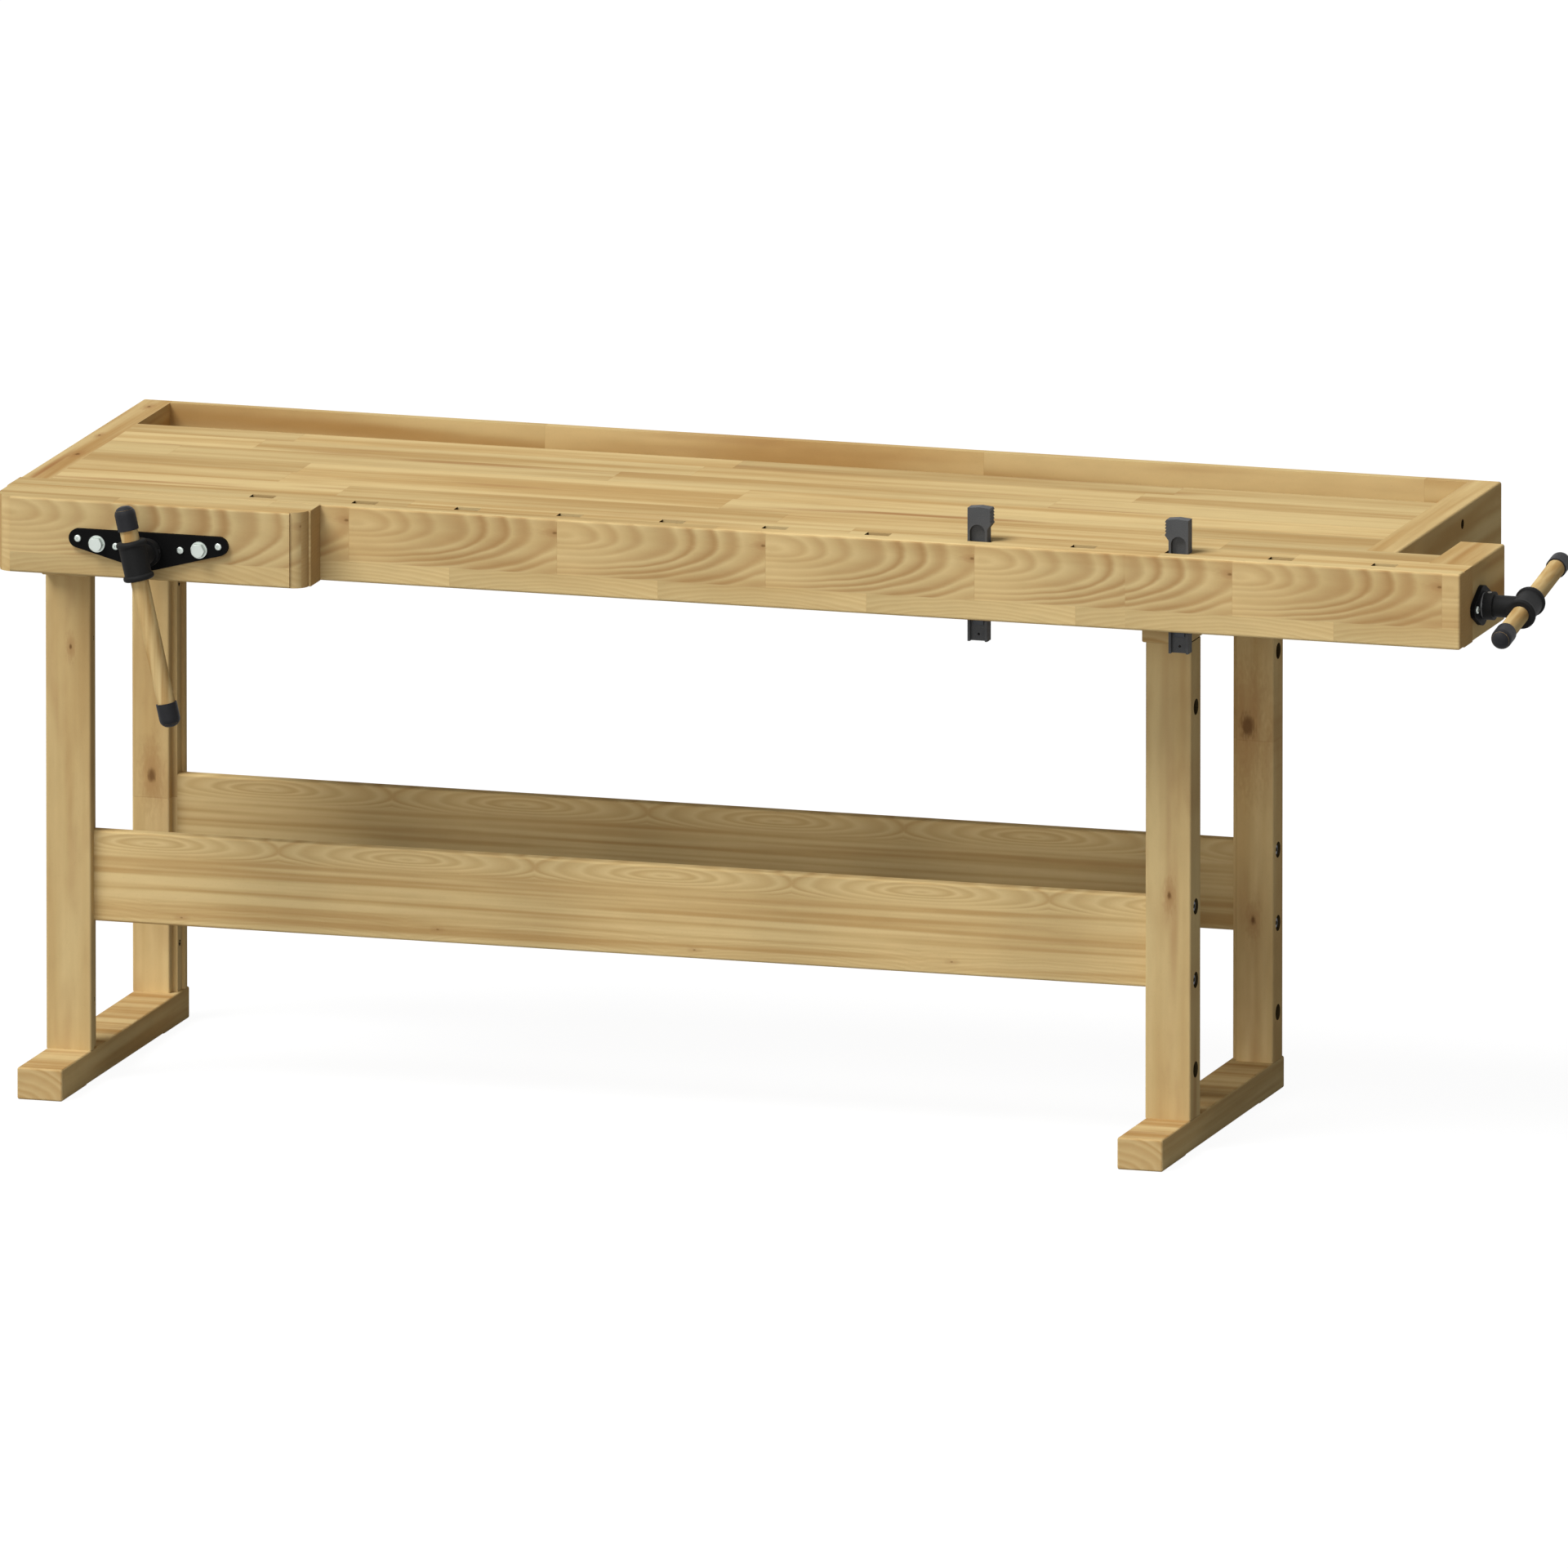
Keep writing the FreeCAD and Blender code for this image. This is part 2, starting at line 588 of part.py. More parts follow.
def build_stretchers():
    for name, leg, front_side in (("front", "front_leg_at", True), ("back", "back_leg_at", False)):
        start = "leg_flange" if front_side else "leg_deep - leg_flange - stretcher_thick"
        board = box("stretcher_left", f"{leg} + {start}", "stretcher_low",
                    "stretcher_right - stretcher_left", "stretcher_thick", "stretcher_high")
        board = rounded(board, "edge_round", lambda middle, run: abs(run.x) > 0.9)
        tools = []
        middle = f"{leg} + leg_deep / 2"
        for z in ("bolt_low", "bolt_high"):
            reach = "frame_bolt_long + sink_deep + 1 - leg_wide + leg_step"
            tools.append(rod("x", "stretcher_left - 1", middle, z, "bolt_bore", reach))
            tools.append(rod("x", f"stretcher_right + 1 - ({reach})", middle, z,
                             "bolt_bore", reach))
            for x in (f"trestle_left + {nut_depth()}",
                      f"trestle_right + leg_wide - ({nut_depth()})"):
                tools.append(rod("y", x, f"{middle} - nut_long / 2 - seat_play", z,
                                 "nut_radius + seat_play", "nut_long + stretcher_thick"))
        keep(cut(board, *tools), "stretcher_" + name)


# ---- the front vise --------------------------------------------------------------------

def sides():
    return -1, 1


def front_rod_x(side):
    return f"front_axis_x + {side} * rod_spread / 2"


def jaw_outline():
    """The jaw's plan: its two front corners are beads between small square quirks."""
    left, right = value("jaw_left"), value("jaw_left + jaw_long")
    front, quirk, bead = value("jaw_front"), value("quirk"), value("bead_radius")
    far = quirk + bead
    edges = []

    def line(*points):
        for a, b in zip(points, points[1:]):
            edges.append(Part.makeLine(FreeCAD.Vector(*a, 0), FreeCAD.Vector(*b, 0)))

    def bow(start, centre, end):
        middle = FreeCAD.Vector((start[0] + end[0]) / 2 - centre[0],
                                (start[1] + end[1]) / 2 - centre[1], 0)
        middle = FreeCAD.Vector(*centre, 0) + middle.normalize() * bead
        arc = Part.Arc(FreeCAD.Vector(*start, 0), middle, FreeCAD.Vector(*end, 0))
        edges.append(arc.toShape())
    line((left, front + far), (left + quirk, front + far))
    bow((left + quirk, front + far), (left + far, front + far), (left + far, front + quirk))
    line((left + far, front + quirk), (left + far, front), (right - far, front),
         (right - far, front + quirk))
    bow((right - far, front + quirk), (right - far, front + far), (right - quirk, front + far))
    line((right - quirk, front + far), (right, front + far), (right, 0), (left, 0),
         (left, front + far))
    return Part.Wire(edges)


def plate_shape(spread, lobe, belly, drop, thick):
    """A flat plate along z: the hull of two end lobes and a larger middle circle below."""
    half = spread / 2
    to_lobe = math.atan2(drop, half)
    tilt = math.acos((belly - lobe) / math.hypot(half, drop))
    high, low = to_lobe + tilt, to_lobe - tilt

    def on_belly(angle):
        return FreeCAD.Vector(belly * math.cos(angle), belly * math.sin(angle) - drop, 0)

    def on_lobe(angle):
        return FreeCAD.Vector(half + lobe * math.cos(angle), lobe * math.sin(angle), 0)

    def mirror(point):
        return FreeCAD.Vector(-point.x, point.y, 0)
    arched = high < math.pi / 2 - 1e-6
    lobe_top = on_lobe(high) if arched else on_lobe(math.pi / 2)
    edges = [Part.makeLine(on_belly(low), on_lobe(low)),
             Part.Arc(on_lobe(low), on_lobe(to_lobe), lobe_top).toShape()]
    if arched:
        edges += [Part.makeLine(lobe_top, on_belly(high)),
                  Part.Arc(on_belly(high), on_belly(math.pi / 2), mirror(on_belly(high))).toShape(),
                  Part.makeLine(mirror(on_belly(high)), mirror(lobe_top))]
    else:
        edges.append(Part.makeLine(lobe_top, mirror(lobe_top)))
    edges += [Part.Arc(mirror(lobe_top), mirror(on_lobe(to_lobe)), mirror(on_lobe(low))).toShape(),
              Part.makeLine(mirror(on_lobe(low)), mirror(on_belly(low))),
              Part.Arc(mirror(on_belly(low)), on_belly(-math.pi / 2), on_belly(low)).toShape()]
    return Part.Face(Part.Wire(edges)).extrude(FreeCAD.Vector(0, 0, thick))


def plate_screw_spots():
    """The front plate's four screws: x from the screw axis and drop below the lobes."""
    spots = []
    for side in sides():
        spots.append((f"front_axis_x + {side} * lobe_spread / 2", "lobe_drop"))
        spots.append((f"front_axis_x + {side} * inner_screw_spread / 2",
                      "lobe_drop + inner_screw_drop"))
    return spots


def button_screw():
    """A button head screw: the head's top at the origin, its shank along +z."""
    head = Part.makeCylinder(value("button_radius"), value("button_high"))
    rim = [edge for edge in head.Edges if near(edge.BoundBox.ZMax, 0)]
    head = head.makeFillet(value("button_round"), rim)
    head = head.cut(hexagon_shape("button_socket", "button_socket_deep"))
    start = FreeCAD.Vector(0, 0, value("button_high"))
    shank = Part.makeCylinder(value("plate_screw_radius"), value("plate_screw_long"), start)
    return head.fuse(shank)


def build_front_jaw():
    depth = value("apron_high")
    block = shaped(Part.Face(jaw_outline()).extrude(FreeCAD.Vector(0, 0, depth)))
    set_base(block, "0", "0", "apron_low")
    high = value("top_high")
    front = value("jaw_front + quirk + bead_radius")

    def rim(middle, run):
        level = near(middle.z, high) or near(middle.z, value("apron_low"))
        return level and abs(run.x) > 0.9 and middle.y < front
    block = rounded(block, "edge_round", rim)
    tools = [rod("y", "front_axis_x", "jaw_front - 1", "front_axis_z",
                 "screw_radius + slide_play", "jaw_thick + 2"),
             rod("y", "front_axis_x", "jaw_front - 1", "front_axis_z",
                 "collar_radius + collar_play", "collar_thick + collar_play + 1")]
    for side in sides():
        x = front_rod_x(side)
        tools.append(rod("y", x, "jaw_front - 1", "rod_z", "rod_bolt_radius + seat_play",
                         "jaw_thick + 2"))
        tools.append(rod("y", x, "-rod_seat", "rod_z", "rod_radius + seat_play", "rod_seat + 1"))
    for x, drop in plate_screw_spots():
        tools.append(rod("y", x, "jaw_front - 1", f"top_high - ({drop})", "plate_screw_radius",
                         "plate_screw_long - plate_thick + 1"))
    keep(cut(block, *tools), "front_jaw_block")

    plate = shaped(plate_shape(value("lobe_spread"), value("lobe_radius"), value("belly_radius"),
                               value("belly_drop"), value("plate_thick")))
    plate.Placement = FreeCAD.Placement(FreeCAD.Vector(), FreeCAD.Rotation(
        FreeCAD.Vector(1, 0, 0), 90))
    set_base(plate, "front_axis_x", "jaw_front", "top_high - lobe_drop")
    tools = [rod("y", "front_axis_x", "plate_front - 1", "front_axis_z",
                 "screw_radius + collar_play", "plate_thick + 2")]
    for side in sides():
        tools.append(rod("y", front_rod_x(side), "plate_front - 1", "rod_z",
                         "rod_bolt_radius + seat_play", "plate_thick + 2"))
    for x, drop in plate_screw_spots():
        tools.append(rod("y", x, "plate_front - 1", f"top_high - ({drop})",
                         "plate_screw_radius", "plate_thick + 2"))
    keep(cut(plate, *tools), "front_plate")

    y_way = FreeCAD.Vector(0, 1, 0)
    spots = [(vector(x, "plate_front - button_high", f"top_high - ({drop})"), y_way)
             for x, drop in plate_screw_spots()]
    keep(copies(button_screw(), spots), "front_plate_screws")
    head = hexagon_shape("hex_radius", "hex_high")
    cone = Part.makeCone(value("hex_face"), value("hex_face + hex_high"), value("hex_high"))
    head = head.common(cone)
    shank = Part.makeCylinder(value("rod_bolt_radius"), value("rod_bolt_long"),
                              FreeCAD.Vector(0, 0, value("hex_high")))
    rod_spots = [vector(front_rod_x(side), "plate_front - hex_washer_thick - hex_high", "rod_z")
                 for side in sides()]
    keep(copies(head.fuse(shank), [(spot, y_way) for spot in rod_spots]), "front_rod_bolts")
    washer = ring_shape("hex_washer", "rod_bolt_radius + seat_play", "hex_washer_thick")
    spots = [(vector(front_rod_x(side), "plate_front - hex_washer_thick", "rod_z"), y_way)
             for side in sides()]
    keep(copies(washer, spots), "front_rod_washers")
    rods = []
    for side in sides():
        bar = rod("y", front_rod_x(side), "-rod_seat", "rod_z", "rod_radius",
                  "rod_back + rod_seat")
        reach = "rod_bolt_long - plate_thick - hex_washer_thick - jaw_thick + rod_seat + 1"
        bore = rod("y", front_rod_x(side), "-rod_seat - 1", "rod_z", "rod_bolt_radius",
                   f"{reach} + 1")
        rods.append(cut(bar, bore))
    keep(group(*rods), "front_guide_rods")


def build_front_seat():
    """The guide block under the slab, the bushes of all guide rods and the front nut."""
    block = box("front_axis_x - block_long / 2", "apron_deep", "block_low", "block_long",
                "block_deep", "block_high")
    tools = [rod("y", "front_axis_x", "apron_deep - 1", "front_axis_z",
                 "screw_radius + slide_play", "block_deep + 2"),
             rod("y", "front_axis_x", "block_back - nut_boss_deep", "front_axis_z",
                 "nut_boss + seat_play", "nut_boss_deep + 1")]
    for side in sides():
        tools.append(rod("y", front_rod_x(side), "apron_deep - 1", "rod_z",
                         "rod_radius + bush_wall", "block_deep + 2"))
    keep(cut(block, *tools), "front_guide_block")
    bush = ring_shape("rod_radius + bush_wall", "rod_radius + run_play", "bush_long")
    spots = [(vector(front_rod_x(side), "apron_deep + (block_deep - bush_long) / 2", "rod_z"),
              FreeCAD.Vector(0, 1, 0)) for side in sides()]
    spots += [(vector("right_cap_at + (cap_wide - bush_long) / 2", y, "tail_rod_z"),
               FreeCAD.Vector(1, 0, 0)) for y in ("tail_rod_front", "tail_rod_back")]
    keep(copies(bush, spots), "guide_bushes")
    flange = box("front_axis_x - nut_plate / 2", "block_back", "front_axis_z - nut_plate_high / 2",
                 "nut_plate", "nut_plate_deep", "nut_plate_high / 2 + slab_low - front_axis_z")
    boss = rod("y", "front_axis_x", "block_back - nut_boss_deep", "front_axis_z", "nut_boss",
               "nut_boss_deep + nut_plate_deep / 2")
    bore = rod("y", "front_axis_x", "apron_deep", "front_axis_z", "screw_radius + run_play",
               "block_deep + nut_plate_deep + 2")
    keep(cut(join(flange, boss), bore), "front_nut")
    plate = box("right_cap_at - nut_plate_deep", "tail_axis_in - nut_boss - slide_play",
                "tail_axis_z - nut_boss", "nut_plate_deep", "2 * nut_boss", "2 * nut_boss")
    bore = rod("x", "right_cap_at - nut_plate_deep - 1", "tail_axis_in", "tail_axis_z",
               "screw_radius + run_play", "nut_plate_deep + 2")
    keep(cut(plate, bore), "tail_nut")


# ---- screws, hubs and handles ----------------------------------------------------------

def build_screw(side, spin, at, inner):
    """One vise screw about its own z axis, which points out of the bench from the plate."""
    end = f"-({inner})"
    spindle = join(rod("z", "0", "0", end, "screw_radius", f"({inner}) + hub_socket"),
                   rod("z", "0", "0", "-plate_thick - collar_thick", "collar_radius",
                       "collar_thick - collar_play / 2"))
    pin_z = "thrust_thick + 2 * collar_play + hub_flange_long / 2"
    pin = rod("y", "0", "-hub_flange", pin_z, "pin_radius", "2 * hub_flange")
    keep_at(cut(spindle, pin), side + "_spindle", spin, *at)
    washer = shaped(ring_shape("thrust_radius", "screw_radius + seat_play", "thrust_thick"))
    lifted = doc.addObject("Part::Compound", "Lifted")
    lifted.Links = [washer]
    set_base(washer, "0", "0", "collar_play")
    keep_at(lifted, side + "_thrust_washer", spin, *at)
    flange_at = "thrust_thick + 2 * collar_play"
    neck = rod("z", "0", "0", flange_at, "hub_neck", f"hub_reach - ({flange_at})")
    flange = rod("z", "0", "0", flange_at, "hub_flange", "hub_flange_long")
    tube = rod("x", "-tube_long / 2", "0", "hub_reach", "tube_radius", "tube_long")
    beads = [rod("x", start, "0", "hub_reach", "tube_radius + bead_out", "bead_high")
             for start in ("-tube_long / 2", "tube_long / 2 - bead_high")]
    doc.recompute()
    beads = [rounded_rims(bead, "bead_round") for bead in beads]
    hollow = [rod("x", "-tube_long / 2 - bead_high", "0", "hub_reach",
                  "handle_radius + handle_play", "tube_long + 2 * bead_high"),
              rod("z", "0", "0", "0", "screw_radius + seat_play / 4", "hub_socket + seat_play"),
              rod("y", "0", "-hub_flange - 1", pin_z, "pin_radius", "2 * hub_flange + 2")]
    keep_at(cut(join(flange, neck, tube, *beads), *hollow), side + "_hub", spin, *at)
    pin = rod("y", "0", "-hub_flange", pin_z, "pin_radius", "2 * hub_flange")
    wrap = doc.addObject("Part::Compound", "Pin")
    wrap.Links = [pin]
    keep_at(wrap, side + "_hub_pin", spin, *at)


def rounded_rims(base, radius):
    """Fillet every round rim of a turned piece."""
    size = value(radius)
    whole = doc.addObject("Part::Fillet", "Rounded")
    whole.Base = base
    whole.Edges = [(number, size, size) for number, edge in enumerate(base.Shape.Edges, 1)
                   if edge.Curve.TypeId == "Part::GeomCircle"]
    return whole


def build_handle(side, spin, at):
    """A wooden bar with a cap on each end, about its own middle and along its own z axis."""
    bar = turned(side + "_bar", [("0", "-handle_long / 2"), ("handle_radius", "-handle_long / 2"),
                                 ("handle_radius", "handle_long / 2"), ("0", "handle_long / 2")])
    keep_at(bar, side + "_handle_bar", spin, *at)
    caps = []
    for end in sides():
        crown = "handle_long / 2 + cap_wall_end"
        low = f"{crown} - cap_long" if end > 0 else f"-({crown})"
        cap = rod("z", "0", "0", low, "cap_radius", "cap_long")
        doc.recompute()
        outer = [number for number, edge in enumerate(cap.Shape.Edges, 1)
                 if edge.Curve.TypeId == "Part::GeomCircle"
                 and edge.BoundBox.ZMax * end > value(crown) - 1]
        dome = doc.addObject("Part::Fillet", "Dome")
        dome.Base = cap
        size = value("dome_radius")
        dome.Edges = [(number, size, size) for number in outer]
        start = f"{low} - 1" if end > 0 else "-handle_long / 2 - seat_play"
        hollow = rod("z", "0", "0", start, "handle_radius + seat_play / 4",
                     "cap_long - cap_wall_end + seat_play + 1")
        caps.append(cut(dome, hollow))
    keep_at(group(*caps), side + "_handle_caps", spin, *at)


def front_spin():
    """Screw frame of the front vise: z towards the user, x along the leaning handle."""
    return spin_from(FreeCAD.Vector(0, -1, 0), front_handle_way())


def spin_from(out, across):
    """The rotation whose z axis is out and whose x axis is across."""
    side = out.cross(across)
    frame = FreeCAD.Matrix(across.x, side.x, out.x, 0, across.y, side.y, out.y, 0,
                           across.z, side.z, out.z, 0, 0, 0, 0, 1)
    return FreeCAD.Placement(frame).Rotation


def front_handle_way():
    lean = math.radians(value("front_lean"))
    return FreeCAD.Vector(-math.sin(lean), 0, math.cos(lean))


def tail_handle_way():
    lean = math.radians(value("tail_lean"))
    return FreeCAD.Vector(0, math.cos(lean), math.sin(lean))


def build_screws():
    at = ("front_axis_x", "plate_front", "front_axis_z")
    build_screw("front", front_spin(), at, "front_screw_back + jaw_thick + plate_thick")
    way = front_handle_way()
    upright = FreeCAD.Rotation(FreeCAD.Vector(0, 0, 1), way)
    at = (f"front_axis_x - front_slip * {way.x}", "plate_front - hub_reach",
          f"front_axis_z - front_slip * {way.z}")
    build_handle("front", upright, at)
    at = ("tail_plate_out", "tail_axis_in", "tail_axis_z")
    spin = spin_from(FreeCAD.Vector(1, 0, 0), tail_handle_way())
    build_screw("tail", spin, at, "tail_screw_long")
    way = tail_handle_way()
    level = FreeCAD.Rotation(FreeCAD.Vector(0, 0, 1), way)
    at = ("tail_plate_out + hub_reach", f"tail_axis_in + tail_slip * {way.y}",
          f"tail_axis_z + tail_slip * {way.z}")
    build_handle("tail", level, at)


# ---- the tail vise ---------------------------------------------------------------------

def build_tail_vise():
    end_x = value("tail_end")
    lath = box("tail_seam", "0", "apron_low", "tail_long", "front_lath", "apron_high")

    def outer(middle, run):
        front = near(middle.y, 0) and abs(run.x) > 0.9
        end = near(middle.x, end_x) and not near(middle.y, value("front_lath"))
        return front or end
    keep(rounded(lath, "edge_round", outer), "tail_front_lath")
    blocks = strip_blocks("tail_seam", "tail_end", "tail_hole_first", "tail_hole_pitch",
                          TAIL_HOLES)
    keep(group(*blocks), "tail_spacer_blocks")
    lath = box("tail_seam", "front_lath + hole_deep", "apron_low", "tail_long", "back_lath",
               "apron_high")
    keep(cut(lath, *tail_plate_bores()), "tail_back_lath")
    head_end = "tail_seam + head_block"
    tools = []
    for y in ("tail_rod_front", "tail_rod_back"):
        tools.append(rod("x", f"{head_end} - tail_rod_seat", y, "tail_rod_z", "rod_radius",
                         f"tail_block_at + tail_rod_seat - ({head_end}) + tail_rod_seat"))
    keep(group(*tools), "tail_guide_rods")
    head = box("tail_seam", "apron_deep", "apron_low", "head_block", "tail_deep - apron_deep",
               "apron_high")
    keep(cut(head, *rod_bores(head_end)), "tail_head_block")
    keep(box(head_end, "apron_deep", "cover_low", f"tail_block_at - ({head_end})",
             "tail_deep - apron_deep", "cover_thick"), "tail_cover")
    block = box("tail_block_at", "apron_deep", "apron_low", "tail_block",
                "tail_block_deep - apron_deep", "apron_high")

    def shown(middle, run):
        back = near(middle.y, value("tail_block_deep"))
        return back or (near(middle.x, end_x) and not near(middle.y, value("apron_deep")))
    tools = rod_bores(head_end) + [
        rod("x", "tail_block_at - 1", "tail_axis_in", "tail_axis_z",
            "screw_radius + slide_play", "tail_block + 2"),
        rod("x", "tail_end - collar_thick - collar_play", "tail_axis_in", "tail_axis_z",
            "collar_radius + collar_play", "collar_thick + collar_play + 1")]
    tools += tail_plate_bores()
    keep(cut(rounded(block, "edge_round", shown), *tools), "tail_end_block")
    plate = shaped(plate_shape(value("ear_spread"), value("ear_radius"), value("ear_body"), 0,
                               value("plate_thick")))
    plate.Placement = FreeCAD.Placement(FreeCAD.Vector(), spin_from(
        FreeCAD.Vector(1, 0, 0), FreeCAD.Vector(0, 1, 0)))
    set_base(plate, "tail_end", "tail_axis_in", "tail_axis_z")
    tools = [rod("x", "tail_end - 1", "tail_axis_in", "tail_axis_z",
                 "screw_radius + collar_play", "plate_thick + 2")]
    for side in sides():
        tools.append(rod("x", "tail_end - 1", ear_y(side), "tail_axis_z", "plate_screw_radius",
                         "plate_thick + 2"))
    keep(cut(plate, *tools), "tail_plate")
    spots = [(vector("tail_plate_out + button_high", ear_y(side), "tail_axis_z"),
              FreeCAD.Vector(-1, 0, 0)) for side in sides()]
    keep(copies(button_screw(), spots), "tail_plate_screws")


def tail_plate_bores():
    return [rod("x", "tail_end - plate_screw_long + plate_thick", ear_y(side), "tail_axis_z",
                "plate_screw_radius", "plate_screw_long") for side in sides()]


def ear_y(side):
    return f"tail_axis_in + {side} * ear_spread / 2"


def rod_bores(head_end):
    return [rod("x", f"{head_end} - tail_rod_seat - seat_play", y, "tail_rod_z",
                "rod_radius + seat_play",
                f"tail_block_at + 2 * tail_rod_seat + 2 * seat_play - ({head_end})")
            for y in ("tail_rod_front", "tail_rod_back")]


# ---- bench dogs ------------------------------------------------------------------------

def dog_corners(way):
    """Side view of a dog about its hole's middle at the top: way is the toothed side."""
    half, neck = "dog_long / 2", "dog_neck - dog_long / 2"
    head_low = "dog_rise - jaw_high"
    corners = [(f"-({half})", "-dog_drop"), (neck, "-dog_drop"),
               (neck, f"{head_low} - jaw_slope"), (half, head_low)]
    for tooth in range(TEETH):
        low = f"{head_low} + {tooth} * (jaw_high - dog_crown) / {TEETH}"
        high = f"{head_low} + {tooth + 1} * (jaw_high - dog_crown) / {TEETH}"
        corners += [(half, f"({low}) + 1"), (f"{half} - tooth_deep", high)]
    corners += [("0", "dog_rise"), (f"-({half})", "dog_rise - dog_crown")]
    return [(f"{way} * ({u})", v) for u, v in corners]


def build_dog(name, way, hole):
    """A dog with its leaf spring, centred on a hole that starts at this x."""
    at = (f"{hole} + hole_long / 2", "front_lath + hole_deep / 2", "top_high")
    corners = dog_corners(way)
    if way < 0:
        corners = corners[::-1]
    body = padded(name + "_body", "XZ_Plane", corners, "dog_deep")
    set_base(body, "0", "dog_deep / 2", "0")
    middle = f"{way} * (dog_neck - dog_long) / 2"
    arch = "dog_rise - channel_drop - channel_wide / 2"
    front = "-dog_deep / 2 - 1"
    tools = [rod("y", middle, front, arch, "channel_wide / 2", "channel_deep + 1"),
             box(f"{middle} - channel_wide / 2", front, "-dog_drop - 1", "channel_wide",
                 "channel_deep + 1", f"{arch} + dog_drop + 1"),
             rod("y", middle, "-dog_deep", "peep_rise - dog_drop", "peep_radius", "2 * dog_deep")]
    keep_at(cut(body, *tools), name, ALONG_Z, *at)
    floor = value("channel_deep - dog_deep / 2")
    bow = value("-dog_deep / 2 - dog_play") + value("collar_play")
    low = value("spring_low - dog_drop")
    high = low + value("spring_long")
    thick = value("spring_thick")
    left = value(f"{middle} - spring_wide / 2")

    def spot(y, z):
        return FreeCAD.Vector(left, y, z)
    inner = Part.Arc(spot(floor, low), spot(bow + thick, (low + high) / 2), spot(floor, high))
    outer = Part.Arc(spot(floor - thick, high), spot(bow, (low + high) / 2),
                     spot(floor - thick, low))
    wire = Part.Wire([inner.toShape(), Part.makeLine(spot(floor, high), spot(floor - thick, high)),
                      outer.toShape(), Part.makeLine(spot(floor - thick, low), spot(floor, low))])
    leaf = Part.Face(wire).extrude(FreeCAD.Vector(value("spring_wide"), 0, 0))
    keep_at(shaped(leaf), name + "_spring", ALONG_Z, *at)


# ---- the whole bench -------------------------------------------------------------------

def check_document():
    """Stop before anything is written if a feature failed or a piece isn't sound."""
    failed = [item.Name for item in doc.Objects
              if "Invalid" in item.State or "Error" in item.State]
    if failed:
        raise ValueError("features failed: " + ", ".join(failed))
    for piece in kept:
        if piece.Shape.isNull() or not piece.Shape.isValid() or not piece.Shape.Solids:
            raise ValueError("no sound solid in " + piece.Label)


def write_parts():
    os.makedirs("parts", exist_ok=True)
    for piece in kept:
        piece.Shape.exportStep(os.path.join("parts", piece.Label + ".step"))


def build_bench():
    build_apron()
    build_slab()
    build_end_caps()
    build_trestles()
    build_stretchers()
    build_frame_fasteners()
    build_front_jaw()
    build_front_seat()
    build_tail_vise()
    build_screws()
    build_dog("dog_a", 1, f"hole_first + {DOG_A_HOLE} * hole_pitch")
    build_dog("dog_b", -1, "tail_hole_first")
    doc.recompute()


build_bench()
check_document()
write_parts()
print("pieces:", len(kept), "solids:", sum(len(piece.Shape.Solids) for piece in kept))
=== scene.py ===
"""A joiner's bench: the finish of its beech, iron, zinc and plastic, and a plain pale stage."""
import math
from collections import namedtuple

import bmesh
import bpy
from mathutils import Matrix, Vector


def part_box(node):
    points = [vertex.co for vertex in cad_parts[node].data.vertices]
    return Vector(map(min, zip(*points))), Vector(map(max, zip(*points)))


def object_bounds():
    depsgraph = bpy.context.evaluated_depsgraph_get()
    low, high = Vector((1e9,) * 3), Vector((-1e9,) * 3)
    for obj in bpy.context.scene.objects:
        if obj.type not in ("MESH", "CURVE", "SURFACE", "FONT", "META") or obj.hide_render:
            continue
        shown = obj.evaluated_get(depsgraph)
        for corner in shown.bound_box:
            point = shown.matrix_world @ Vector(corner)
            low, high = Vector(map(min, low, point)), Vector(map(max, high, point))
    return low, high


bl_info = {
    "name": "Joiner's bench",
    "version": (1, 0, 0),
    "blender": (4, 5, 0),
    "location": "3D View > Sidebar > Bench",
    "description": "Finishes a beech workbench with its two vises and sets up a plain stage",
    "category": "Material",
}

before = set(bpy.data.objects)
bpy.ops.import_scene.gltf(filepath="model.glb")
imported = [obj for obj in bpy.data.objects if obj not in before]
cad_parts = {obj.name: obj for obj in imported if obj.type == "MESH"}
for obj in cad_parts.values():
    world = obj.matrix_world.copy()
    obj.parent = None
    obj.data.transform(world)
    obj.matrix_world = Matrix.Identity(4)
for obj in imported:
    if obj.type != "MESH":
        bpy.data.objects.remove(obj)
cad_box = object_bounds()

# Places that the figure of the wood starts from, read from the bench's own pieces, in metres.
APRON_LOW, APRON_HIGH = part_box("apron_front_lath")
TAIL_LOW, TAIL_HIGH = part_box("tail_front_lath")
JAW_LOW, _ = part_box("front_jaw_block")
BENCH_LEFT = APRON_LOW.x
BENCH_FRONT = APRON_LOW.y
TOP = APRON_HIGH.z


# ---- settings --------------------------------------------------------------------------

def colour(name, description, default):
    """A colour that can be set, in linear parts."""
    return bpy.props.FloatVectorProperty(
        name=name, description=description, subtype="COLOR", size=3, min=0, max=1, default=default)


def length(name, description, default):
    """A length that can be set, in metres."""
    return bpy.props.FloatProperty(
        name=name, description=description, subtype="DISTANCE", unit="LENGTH", default=default)


def angle(name, description, degrees):
    """An angle that can be set."""
    return bpy.props.FloatProperty(
        name=name, description=description, subtype="ANGLE", unit="ROTATION",
        default=math.radians(degrees))


def share(name, description, default):
    """A share of full light that can be set."""
    return bpy.props.FloatProperty(name=name, description=description, default=default)


